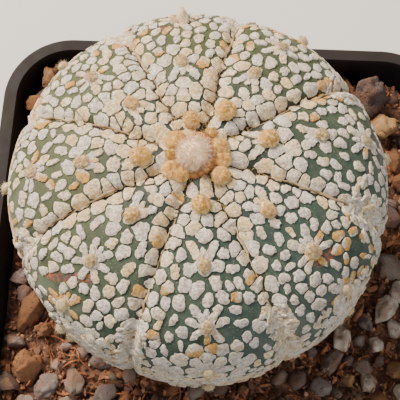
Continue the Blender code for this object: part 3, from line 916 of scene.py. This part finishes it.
def build_areoles(draw):
    """The felted areoles and the collar that the youngest ones make round the crown, with their hairs."""
    places = [(arc * MM, math.radians(turn), (radius * MM, radius * MM, 0.75 * radius * MM))
              for turn, arc, radius in YOUNG_AREOLES]
    places += [(arc, azimuth, areole_size(arc, draw)) for arc, azimuth in areole_places()]
    felt = Felt("areoles")
    for arc, azimuth, size in places:
        centre, outward = outward_at(arc, azimuth)
        downhill = outward_at(arc + 0.5 * MM, azimuth)[0] - centre
        old = arc > CRUST_ARC
        middle, detail = centre + outward * 0.3 * MM, 3 if old else 4
        roots = felt.dome(arc, middle, outward, size, detail, draw, 0.16, downhill)
        count = 60 if old else 240 if arc < 13 * MM else 120
        felt.hairs(arc, roots, centre, 0.1, count, (0.6 if old else 0.45) * MM, 0.035 * MM, draw)
    roots = felt.dome(0, CROWN, UP, (3.8 * MM, 3.8 * MM, 1.8 * MM), 5, draw, 0.25, core=1)
    felt.hairs(0, roots, CROWN, 0, 500, 0.9 * MM, 0.03 * MM, draw)
    for groove in GROOVES:
        for _ in range(60):
            arc = (3.5 + 8.5 * draw.random() ** 1.3) * MM
            root, outward = outward_at(arc, groove + draw.gauss(0, 0.4) * MM / arc)
            outward = (outward + some_vector(draw, 0.9)).normalized()
            felt.hair(3 * MM, 0, root, outward, draw.uniform(0.5, 1.1) * MM, 0.05 * MM, draw)
    return felt.piece()


def build_wool(draw):
    """The crown's tuft, its hairs and the thick strands combed out from it, and a tall tuft far back."""
    crown = PLANT_PLACE + Vector((-0.6 * MM, -0.3 * MM, CROWN_HEIGHT + 0.9 * MM))
    wool = Felt("crown_wool")
    roots = wool.dome(0, crown, UP, (2.7 * MM, 2.75 * MM, 2.1 * MM), 6, draw, 0.1)
    wool.hairs(0, roots, crown, -0.2, 1500, 0.75 * MM, 0.034 * MM, draw)
    for _ in range(150):
        turn, high = draw.uniform(0, TURN), draw.uniform(0.15, 0.95)
        flat = math.sqrt(1 - high ** 2)
        outward = Vector((flat * math.cos(turn), flat * math.sin(turn), high))
        root = crown + outward * Vector((2.65 * MM, 2.7 * MM, 2.05 * MM))
        combed = Vector((math.cos(turn), math.sin(turn), 0.1)) + outward * draw.uniform(0.2, 0.6)
        wool.hair(0, 1, root, combed.normalized(), draw.uniform(0.7, 1.3) * MM, 0.06 * MM, draw)
    turn, arc, radius, height = TALL_TUFT
    centre, outward = outward_at(arc * MM, math.radians(turn))
    roots = wool.dome(0, centre, outward, (radius * MM, radius * MM, height * MM), 4, draw, 0.25)
    wool.hairs(0, roots, centre, 0.1, 200, 0.6 * MM, 0.035 * MM, draw)
    return wool.piece()


# ---------------------------------------------------------------- pot

def tapered_block(name, low, high, low_width, high_width, corner):
    """A square block with rounded upright corners, wider at its top than at its bottom."""
    bpy.ops.object.select_all(action="DESELECT")
    bpy.ops.mesh.primitive_cube_add(size=1)
    block = bpy.context.object
    block.name = block.data.name = name
    for vert in block.data.vertices:
        width, z = (high_width, high) if vert.co.z > 0 else (low_width, low)
        vert.co = (vert.co.x * width, vert.co.y * width, z)
    points = [vert.co.copy() for vert in block.data.vertices]
    for edge in block.data.edges:
        start, end = (points[number] for number in edge.vertices)
        edge.select = abs(start.z - end.z) > 0.5 * (high - low)
    for face in block.data.polygons:
        face.select = False
    bpy.context.tool_settings.mesh_select_mode = (False, True, False)
    bpy.ops.object.mode_set(mode="EDIT")
    bpy.ops.mesh.bevel(offset=corner, segments=CORNER_STEPS, affect="EDGES", profile=0.5)
    bpy.ops.object.mode_set(mode="OBJECT")
    return block


def combine(piece, operation, cutter):
    """Joins a block to a piece, or cuts it away, and drops the block."""
    boolean = piece.modifiers.new("join", "BOOLEAN")
    boolean.operation, boolean.object, boolean.solver = operation, cutter, "EXACT"
    select_only(piece)
    bpy.ops.object.modifier_apply(modifier=boolean.name)
    bpy.data.objects.remove(cutter, do_unlink=True)


def inner_width(z):
    """Width between the pot's side walls at height z."""
    base = POT_BASE_WIDTH - 2 * POT_WALL
    return base + (POT_INSIDE - base) * z / POT_HEIGHT


def build_pot():
    """A tapered shell with a rounded rim band and four drain holes."""
    pot = tapered_block("nursery_pot", 0, POT_HEIGHT - MM, POT_BASE_WIDTH, POT_INSIDE + 2 * POT_WALL,
                        INSIDE_CORNER + POT_WALL)
    band = tapered_block("rim_band", POT_HEIGHT - RIM_DROP, POT_HEIGHT, POT_WIDTH, POT_WIDTH, CORNER_RADIUS)
    rounding = band.modifiers.new("rounding", "BEVEL")
    rounding.width, rounding.segments, rounding.limit_method = RIM_EDGE, 4, "ANGLE"
    select_only(band)
    bpy.ops.object.modifier_apply(modifier=rounding.name)
    combine(pot, "UNION", band)
    over = POT_HEIGHT + MM
    hollow = tapered_block("hollow", POT_FLOOR, over, inner_width(POT_FLOOR), inner_width(over),
                           INSIDE_CORNER)
    combine(pot, "DIFFERENCE", hollow)
    for x in (-DRAIN_OFFSET, DRAIN_OFFSET):
        for y in (-DRAIN_OFFSET, DRAIN_OFFSET):
            bpy.ops.object.select_all(action="DESELECT")
            bpy.ops.mesh.primitive_cylinder_add(vertices=32, radius=DRAIN_RADIUS, depth=4 * POT_FLOOR,
                                                location=(x, y, 0))
            combine(pot, "DIFFERENCE", bpy.context.object)
    select_only(pot)
    bpy.ops.object.shade_smooth_by_angle(angle=math.radians(35))
    return pot


# ---------------------------------------------------------------- soil

def pot_reach(turn, half, corner=INSIDE_CORNER):
    """Distance from the pot's middle, in a direction, to a square's side with rounded corners."""
    along, across = abs(math.cos(turn)), abs(math.sin(turn))
    reach = half / max(along, across)
    inner = half - corner
    if min(along, across) * reach > inner:
        middle = inner * (along + across)
        reach = middle + math.sqrt(max(0, middle ** 2 - 2 * inner ** 2 + corner ** 2))
    return reach


def on_open_bed(x, y, off_stem, off_wall, gap, corner=INSIDE_CORNER):
    """Whether a place lies so far from the stem, and so far inside a square a gap off the pot's walls."""
    in_pot = pot_reach(math.atan2(y, x), 0.5 * inner_width(SOIL_Z) - gap, corner) - off_wall
    return math.hypot(x - PLANT_X, y - PLANT_Y) > STEM_AT_SOIL + off_stem and math.hypot(x, y) < in_pot


def bed_height(x, y):
    """The bed's crumbly top."""
    spot = Vector((x, y, 0))
    broad = noise.noise(spot * 110)
    crumb = abs(noise.noise(spot * 420 + Vector((7, 3, 1)))) + 0.6 * abs(noise.noise(spot * 950))
    heap = 2.2 * math.exp(-((x + 38 * MM) ** 2 + (y - 39 * MM) ** 2) / (7 * MM) ** 2)
    return SOIL_Z + (1.0 * broad + 2.2 * crumb - 1.2 + heap) * MM


def build_bed():
    """The bed round the plant: a ring from the plant's side out to the pot's walls, closed below."""
    turns, steps = 440, 60
    points, faces = [], []
    gap = 0.3 * MM
    low = POT_FLOOR + gap
    for turn in np.arange(turns) * TURN / turns:
        way = (math.cos(turn), math.sin(turn))
        wall, floor = (pot_reach(turn, 0.5 * inner_width(z) - gap) for z in (SOIL_Z, low))
        inner = Vector((PLANT_X + (STEM_AT_SOIL - MM) * way[0], PLANT_Y + (STEM_AT_SOIL - MM) * way[1]))
        outer = Vector((wall * way[0], wall * way[1]))
        points.append((floor * way[0], floor * way[1], low))
        points.append((*(0.3 * (inner - PLANT_PLACE.xy) + PLANT_PLACE.xy), low))
        for step in range(steps):
            spot = inner.lerp(outer, step / (steps - 1))
            points.append((spot.x, spot.y, bed_height(spot.x, spot.y)))
    row = steps + 2
    for turn in range(turns):
        here, after = row * turn, row * ((turn + 1) % turns)
        for step in range(row):
            next_step = (step + 1) % row
            faces.append((here + step, here + next_step, after + next_step, after + step))
    bed = Heap("bark_bed")
    bed.add(points, faces)
    return bed.piece()


def scatter_stones(draw):
    """Stones as (x, y, radius, kind), the placed ones first and then ever smaller ones between them."""
    stones = [(x * MM, y * MM, radius * MM, kind) for x, y, radius, kind, *_ in STONES + HEAPED]
    largest, smallest = STONE_RADIUS
    gap = 0.5 * MM
    half = 0.5 * inner_width(SOIL_Z) - gap
    names, weights = zip(*STREWN)
    for throw in range(STONE_THROWS):
        radius = largest + (smallest - largest) * (throw / STONE_THROWS) ** 0.7
        x, y = (draw.uniform(radius - half, half - radius) for _ in range(2))
        apart = all(math.hypot(x - a, y - b) > 0.95 * (radius + other) for a, b, other, _ in stones)
        if apart and on_open_bed(x, y, 0.6 * radius, radius, gap) and draw.random() < STONE_CHANCE:
            stones.append((x, y, radius, draw.choices(names, weights)[0]))
    return stones


def stone_shape(centre, radius, flatness, detail, draw, knobbly):
    """A worn stone: a ball, stretched, flattened by a few chipped sides and roughened."""
    offset = some_vector(draw, 50)
    turn = some_way(draw).to_track_quat("X", "Z")
    stretch = Vector((draw.uniform(0.9, 1.35), draw.uniform(0.75, 1.05), draw.uniform(0.6, 0.95)))
    chips = [(some_way(draw).normalized(), draw.uniform(0.5, 0.8)) for _ in range(7)]
    points = []
    places, faces = ball(detail)
    for place in places:
        direction = place.normalized()
        swell = 1 + knobbly * noise.noise(direction * 1.8 + offset)
        swell += 0.4 * knobbly * noise.noise(direction * 5 + offset)
        swell += 0.25 * knobbly * noise.noise(direction * 12 + offset)
        for side, reach in chips:
            facing = direction.dot(side)
            if facing > 0.1:
                swell = min(swell, reach / facing + 0.08)
        local = turn @ (direction * swell * radius * stretch)
        local.z *= flatness
        points.append(centre + local)
    return points, faces


def build_stones(draw):
    """One piece for each kind of stone."""
    heaps = {kind: Heap(f"{kind}_stones", "tint") for kind in STONE_FINISHES}
    placed = len(STONES) + len(HEAPED)
    for number, (x, y, radius, kind) in enumerate(scatter_stones(draw)):
        if number >= placed:
            lift = draw.uniform(-0.1, 0.35) * radius
        elif number >= len(STONES):
            lift = HEAPED[number - len(STONES)][-1] * MM
        else:
            lift = 0.35 * radius
        centre = Vector((x, y, SOIL_Z + lift))
        detail = 4 if number < placed else 2
        shape = stone_shape(centre, radius * 1.1, 0.85, detail, draw, KNOBBLY.get(kind, KNOBBLY_REST))
        heaps[kind].add(*shape, tint=draw.random())
    return {kind: heap.piece() for kind, heap in heaps.items()}


def spot_on_bed(draw, margin):
    """A place on the open bed, kept off the plant and the walls."""
    gap = 0.4 * MM
    half = 0.5 * inner_width(SOIL_Z) - gap
    while True:
        x, y = (draw.uniform(-half, half) for _ in range(2))
        if on_open_bed(x, y, margin, margin, gap):
            return x, y


def build_crumbs(draw):
    """Torn bark and peat crumbs strewn over the bed."""
    crumbs = Heap("bark_crumbs", "tint")
    for _ in range(CRUMBS):
        x, y = spot_on_bed(draw, 0.8 * MM)
        size = (0.25 + 0.75 * draw.random() ** 2) * MM
        centre = Vector((x, y, bed_height(x, y) + draw.uniform(0, 0.5) * size))
        turn = some_way(draw).to_track_quat("X", "Z")
        stretch = Vector((draw.uniform(0.9, 2.3), draw.uniform(0.4, 0.85), draw.uniform(0.25, 0.55)))
        places, faces = ball(1, size)
        points = [centre + turn @ (place * stretch * draw.uniform(0.6, 1.3)) for place in places]
        crumbs.add(points, faces, tint=draw.random())
    return crumbs.piece(crisp=50)


def build_fibres(draw):
    """Fine curved root and coir fibres lying over the soil, each a thin five-sided tube."""
    fibres = Heap("root_fibres")
    sides, steps = 5, 12
    for _ in range(FIBRES):
        x, y = spot_on_bed(draw, 3 * MM)
        heading, bend = draw.uniform(0, TURN), draw.uniform(-0.35, 0.35)
        thickness, pace = draw.uniform(0.1, 0.28) * MM, draw.uniform(0.35, 0.9) * MM
        lift = draw.uniform(0.6, 1.6) * MM
        spine = []
        for step in range(steps):
            arch = math.sin(math.pi * step / (steps - 1))
            spine.append(Vector((x, y, bed_height(x, y) + 0.2 * MM + lift * arch)))
            heading += bend + draw.uniform(-0.1, 0.1)
            x += pace * math.cos(heading)
            y += pace * math.sin(heading)
        if not all(on_open_bed(spot.x, spot.y, 0.5 * MM, 0, 0.6 * MM, 11 * MM) for spot in spine):
            continue
        points = []
        for step, spot in enumerate(spine):
            ahead = (spine[min(step + 1, steps - 1)] - spine[max(step - 1, 0)]).normalized()
            side = ahead.orthogonal().normalized()
            points += ring(spot, side, ahead.cross(side), thickness * (1 - 0.6 * step / steps), sides)
        fibres.add(points, closed_faces(steps, sides))
    return fibres.piece()


# ---------------------------------------------------------------- finishes

def skin_finish():
    """Matt grey-green, painted warmer and olive to the left and back and cooler blue-green in front as
    painted light, with painted shade near the crown and in the grooves; hazed and scarred in places.
    """
    skin = Finish("cactus skin", 0.62)
    # olive to the left and back, blue-green in front: a painted tint of warm light from the upper left and
    # cool light at the front
    side = (skin.axis("X") * -12 + skin.axis("Y") * 14 + skin.noise(60) * 0.7).ramp(-0.1, 0.9)
    skin.paint(side.mixed((0.036, 0.062, 0.052), (0.060, 0.068, 0.026)))
    skin.coat(skin.noise(420, 4).ramp(0.4, 0.75) * 0.4, (0.085, 0.105, 0.065))
    skin.coat(skin.noise(900, 4).ramp(0.5, 0.7) * 0.4, (0.018, 0.032, 0.024))
    skin.coat(skin.corkiness(0.3) * 0.8, (0.36, 0.19, 0.075))
    shoulder = PLANT_PLACE.z + float(height_at(CRUST_ARC))
    haze = skin.axis("Z").ramp(shoulder + 6 * MM, shoulder - 3 * MM) * skin.noise(170, 4).ramp(0.42, 0.62)
    skin.coat(haze * 0.3, (0.20, 0.24, 0.19))
    # darker towards the crown: painted shade in the narrow gaps between the crowded flecks there
    skin.coat(skin.attribute("age").ramp(0.5, 0.2) * 0.65, (0.012, 0.022, 0.026))
    # darker along the grooves: painted shade in the creases
    skin.coat(skin.attribute("groove") * 0.85, (0.022, 0.018, 0.011))
    stipple = skin.cells(2200).ramp(0.3, 0.1) * skin.noise(500).ramp(0.35, 0.6)
    skin.coat(stipple * 0.5, (0.28, 0.29, 0.22))
    scar = skin.attribute("scar").ramp(0.05, 0.5) * skin.noise(1300, 4, 0.75).ramp(0.42, 0.52)
    scarred = skin.noise(600).ramp(0.4, 0.6).mixed((0.32, 0.11, 0.045), (0.12, 0.05, 0.055))
    skin.coat(scar * 0.9, scarred)
    skin.feed("Specular IOR Level", 0.25)
    skin.bump(skin.noise(1800) + scar * 0.8, 0.5, 0.15 * MM)
    return skin.material


def fleck_finish():
    """Dry felted wool: white and cream pads, tawny hearts and edges, and a few gone ochre on one side,
    mottled with painted shade and painted highlights.
    """
    wool = Finish("white wool flecks", sheen=0.15)
    edge, tint, cream = (wool.attribute(name) for name in ("edge", "tint", "cream"))
    fibre = wool.noise(2500, 5, 0.75)
    wool.paint(cream.ramp(0.1, 0.7).mixed((0.655, 0.615, 0.57), (0.89, 0.70, 0.41)))
    wool.coat(tint.ramp(0.6, 1.0) * 0.5, (0.55, 0.52, 0.49))
    heart = edge.ramp(0.75, 0.25) * cream.ramp(0.3, 0.8) * tint.ramp(0.85, 0.4)
    wool.coat(heart * 0.55, (0.72, 0.43, 0.10))
    wool.coat(wool.noise(420).ramp(0.45, 0.62) * (cream * 0.8 + 0.25) * 0.8, (0.70, 0.44, 0.13))
    # random patches of painted shade and of painted highlight over the felt
    shade = wool.noise(1000, 4)
    wool.coat(shade.ramp(0.48, 0.64) * 0.7, (0.48, 0.40, 0.32))
    wool.coat(shade.ramp(0.48, 0.36) * 0.6, (0.96, 0.89, 0.77))
    # dark fibres, then pale fibres that are also painted highlights, warmer on creamy flecks
    wool.coat(fibre.ramp(0.5, 0.62) * 0.8, (0.30, 0.22, 0.145))
    wool.coat(fibre.ramp(0.48, 0.33) * 0.8, cream.mixed((0.88, 0.84, 0.78), (1.0, 0.88, 0.66)))
    wool.coat(edge.ramp(0.5, 0.85) * 0.4, (0.95, 0.88, 0.76))
    wool.coat(edge.ramp(0.85, 1.0) * (cream * 0.5 + 0.15), (0.50, 0.33, 0.13))
    rust = (wool.attribute("rust") + wool.noise(700) * 0.6 - 0.3).ramp(0.25, 0.6)
    wool.coat(rust * 0.9, fibre.ramp(0.4, 0.6).mixed((0.64, 0.36, 0.05), (0.45, 0.19, 0.02)))
    wool.coat(wool.corkiness(0.35) * 0.6, (0.55, 0.31, 0.13))
    specks = wool.cells(1500).ramp(0.12, 0.04) * wool.noise(260).ramp(0.45, 0.58)
    wool.coat(specks * 0.6, (0.16, 0.10, 0.06))
    wool.bump(fibre + wool.noise(1000) * 1.1, 1.0, 0.45 * MM)
    return wool.material


def areole_finish():
    """Felt, golden at the top of each tuft and cream round its foot, greyer and whiter outward."""
    felt = Finish("areole felt", sheen=0.1)
    age = felt.attribute("age")
    core = felt.attribute("core").ramp(0.1, 0.9)
    young = core.mixed((0.74, 0.54, 0.23), (0.50, 0.26, 0.045))
    older = core.mixed((0.60, 0.50, 0.36), (0.36, 0.26, 0.14))
    felt.paint(age.ramp(0.2, 0.5).mixed(young, older))
    felt.coat(age.ramp(0.6, 0.8), (0.50, 0.40, 0.24))
    felt.coat(felt.noise(2000, 4).ramp(0.5, 0.62) * 0.5, (0.92, 0.72, 0.38))
    felt.coat(felt.noise(2300).ramp(0.52, 0.64) * age.ramp(0.95, 0.6) * 0.75, (0.34, 0.17, 0.04))
    felt.coat(felt.noise(330).ramp(0.5, 0.66) * age.ramp(0.3, 0.15) * 0.5, (0.45, 0.20, 0.05))
    brown = felt.noise(2000).ramp(0.35, 0.6).mixed((0.56, 0.31, 0.11), (0.30, 0.12, 0.035))
    felt.coat(age.ramp(0.05, 0.02), brown)
    felt.bump(felt.noise(2300, 4, 0.7) * age.ramp(-0.3, 0.6), 1.0, 0.27 * MM)
    return felt.material


def plastic_finish():
    """Black moulded plastic, dulled, with pale dust on what faces up."""
    plastic = Finish("black plastic")
    dust = plastic.axis("Z").ramp(POT_HEIGHT - 1.5 * MM, POT_HEIGHT) * plastic.noise(150, 5).ramp(0.1, 0.7)
    grime = plastic.noise(45, 4).ramp(0.4, 0.8) * 0.12
    plastic.paint((dust * 0.85 + grime).mixed((0.006, 0.006, 0.007), (0.023, 0.0175, 0.0165)))
    plastic.feed("Roughness", dust * 0.3 + 0.55)
    plastic.feed("Specular IOR Level", 0.25)
    plastic.bump(plastic.noise(2200), 0.25, 0.1 * MM)
    return plastic.material


def crumb_finish():
    """Torn bark, from nearly black to tawny from crumb to crumb."""
    bark = Finish("bark crumbs")
    tint = bark.attribute("tint")
    bark.paint(tint.ramp(0.0, 0.7).mixed((0.085, 0.045, 0.032), (0.40, 0.17, 0.08)))
    bark.coat(tint.ramp(0.8, 1.0), (0.40, 0.24, 0.15))
    bark.coat(bark.noise(1600, 4).ramp(0.4, 0.7) * 0.5, (0.10, 0.045, 0.025))
    bark.bump(bark.noise(2600, 4), 0.8, 0.2 * MM)
    return bark.material


STONE_FINISHES = {                  # darker and lighter colour, pore scale and pore depth
    "lava": ((0.038, 0.026, 0.023), (0.13, 0.092, 0.082), 1100, 0.8),
    "clay": ((0.085, 0.030, 0.011), (0.21, 0.092, 0.035), 1200, 0.4),
    "ochre": ((0.18, 0.090, 0.034), (0.34, 0.21, 0.088), 1300, 0.4),
    "grey": ((0.085, 0.065, 0.058), (0.225, 0.182, 0.165), 1700, 0.3),
    "mauve": ((0.080, 0.048, 0.042), (0.17, 0.11, 0.098), 1500, 0.3),
    # pale stone, brightened further as painted light in the plant's shadow
    "chalk": ((0.30, 0.225, 0.18), (0.72, 0.61, 0.51), 1600, 0.3),
    "pale": ((0.11, 0.080, 0.060), (0.24, 0.188, 0.155), 1600, 0.3),
}


def stone_finish(kind):
    """Grit of one kind, mottled from stone to stone, pitted with painted shade in the pits, and browned by
    the peat.
    """
    dark, light, scale, depth = STONE_FINISHES[kind]
    stone = Finish(f"{kind} grit", 0.9)
    shade = stone.attribute("tint") * 0.6 + stone.noise(500, 4) * 0.8 - 0.2
    stone.paint(shade.ramp(0.05, 0.85).mixed(dark, light))
    # darker pits: painted shade in the stone's hollows
    pits = stone.cells(scale).ramp(0.32, 0.08) * stone.noise(600).ramp(0.4, 0.6)
    stone.coat(pits * 0.55, (0.08, 0.045, 0.03))
    stone.coat(stone.noise(260, 4).ramp(0.42, 0.62) * 0.6, (0.16, 0.07, 0.035))
    stone.bump(stone.noise(1900, 4, 0.7) - pits, 0.8, depth * MM)
    return stone.material


def mottled_finish(name, base, bump, over=None, roughness=0.95, sheen=0.0):
    """Two colours that a noise mottles, perhaps a third over them by another noise, and a noisy bump."""
    plain = Finish(name, roughness, sheen=sheen)
    grain, low, high, first, second = base
    plain.paint(plain.noise(*grain).ramp(low, high).mixed(first, second))
    if over:
        grain, low, high, share, colour = over
        plain.coat(plain.noise(*grain).ramp(low, high) * share, colour)
    grain, strength, depth = bump
    plain.bump(plain.noise(*grain), strength, depth * MM)
    return plain.material


def thread_finish():
    """Dry olive-brown cord, paler where it is worn."""
    return mottled_finish("groove thread", ((500, 4), 0.35, 0.65, (0.15, 0.105, 0.05), (0.50, 0.38, 0.22)),
                          ((2600,), 0.8, 0.15), roughness=0.9)


def crown_finish():
    """Warm cream wool, tawny between its strands."""
    return mottled_finish("crown wool", ((700, 4), 0.35, 0.7, (0.95, 0.66, 0.43), (1.0, 0.84, 0.58)),
                          ((2600, 5, 0.75), 0.9, 0.3), ((2600, 4), 0.55, 0.7, 0.6, (0.60, 0.36, 0.20)),
                          sheen=0.3)


def bed_finish():
    """Red-brown peat with rusty fibres through it, kept very dark so that the gaps between the crumbs over it
    show painted shade.
    """
    # the bed's dark colours are partly painted shade in the gaps between the crumbs
    return mottled_finish("bark soil", ((420, 5), 0.3, 0.7, (0.060, 0.030, 0.020), (0.20, 0.092, 0.050)),
                          ((1400, 5, 0.7), 1.0, 0.5), ((1500, 4, 0.7), 0.5, 0.7, 0.6, (0.32, 0.12, 0.055)))


def fibre_finish():
    """Rusty root, darker in places."""
    return mottled_finish("root fibre", ((300,), 0.35, 0.65, (0.17, 0.050, 0.020), (0.38, 0.135, 0.048)),
                          ((3000, 2), 0.4, 0.05), roughness=0.8)


# ---------------------------------------------------------------- stage

def build_camera():
    """Looks steeply down on the crown from in front, turned a little about the pot."""
    camera = bpy.data.objects.new("camera", bpy.data.cameras.new("camera"))
    bpy.context.scene.collection.objects.link(camera)
    shift = Matrix.Translation([part * PLANT_RADIUS for part in CAMERA_SHIFT])
    view = Matrix.Rotation(CAMERA_TURN, 4, "Z") @ Matrix.Rotation(CAMERA_TILT, 4, "X")
    camera.matrix_world = Matrix.Translation(PLANT_PLACE) @ view @ shift
    camera.data.lens = 74
    camera.data.sensor_width = 36
    camera.data.clip_start = 0.01
    bpy.context.scene.camera = camera


def build_stage():
    """A pale floor, a warm lamp like a clear sky's, a faint one opposite, and a grey world."""
    bpy.ops.object.select_all(action="DESELECT")
    bpy.ops.mesh.primitive_plane_add(size=4)
    floor = bpy.context.object
    floor.name = "floor"
    floor.data.materials.append(Finish("pale floor", 0.8, (0.62, 0.61, 0.59)).material)
    for name, place, size, power, colour in LAMPS:
        light = bpy.data.lights.new(name, "AREA")
        light.shape, light.size, light.energy, light.color = "DISK", size, power, colour
        lamp = bpy.data.objects.new(name, light)
        bpy.context.scene.collection.objects.link(lamp)
        lamp.location = place
        lamp.rotation_euler = (PLANT_PLACE - Vector(place)).to_track_quat("-Z", "Y").to_euler()
    world = bpy.data.worlds.new("studio")
    world.use_nodes = True
    world.node_tree.nodes["Background"].inputs["Color"].default_value = (0.8, 0.82, 0.85, 1)
    world.node_tree.nodes["Background"].inputs["Strength"].default_value = 0.36
    bpy.context.scene.world = world


def finish_piece(piece, material, node):
    """Gives a piece its one material, hangs it under the root body, and hides the node of the frame it stands
    for.
    """
    piece.data.materials.clear()
    piece.data.materials.append(material)
    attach(piece, "root")
    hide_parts(node)


def main():
    draw = random.Random(PLANT_SEED)
    wool = fleck_finish()
    plant = [(piece, wool) for piece in build_flecks(draw)]
    plant.append((build_flakes(draw), wool))
    plant.append((build_threads(draw), thread_finish()))
    plant.append((build_skin(), skin_finish()))
    plant.append((build_areoles(draw), areole_finish()))
    plant.append((build_wool(draw), crown_finish()))
    for piece, material in plant:
        finish_piece(piece, material, "cactus")
    finish_piece(build_pot(), plastic_finish(), "pot")
    draw = random.Random(SOIL_SEED)
    soil = [(build_bed(), bed_finish())]
    soil += [(piece, stone_finish(kind)) for kind, piece in build_stones(draw).items()]
    soil.append((build_crumbs(draw), crumb_finish()))
    soil.append((build_fibres(draw), fibre_finish()))
    for piece, material in soil:
        finish_piece(piece, material, "soil")
    build_stage()
    build_camera()


main()
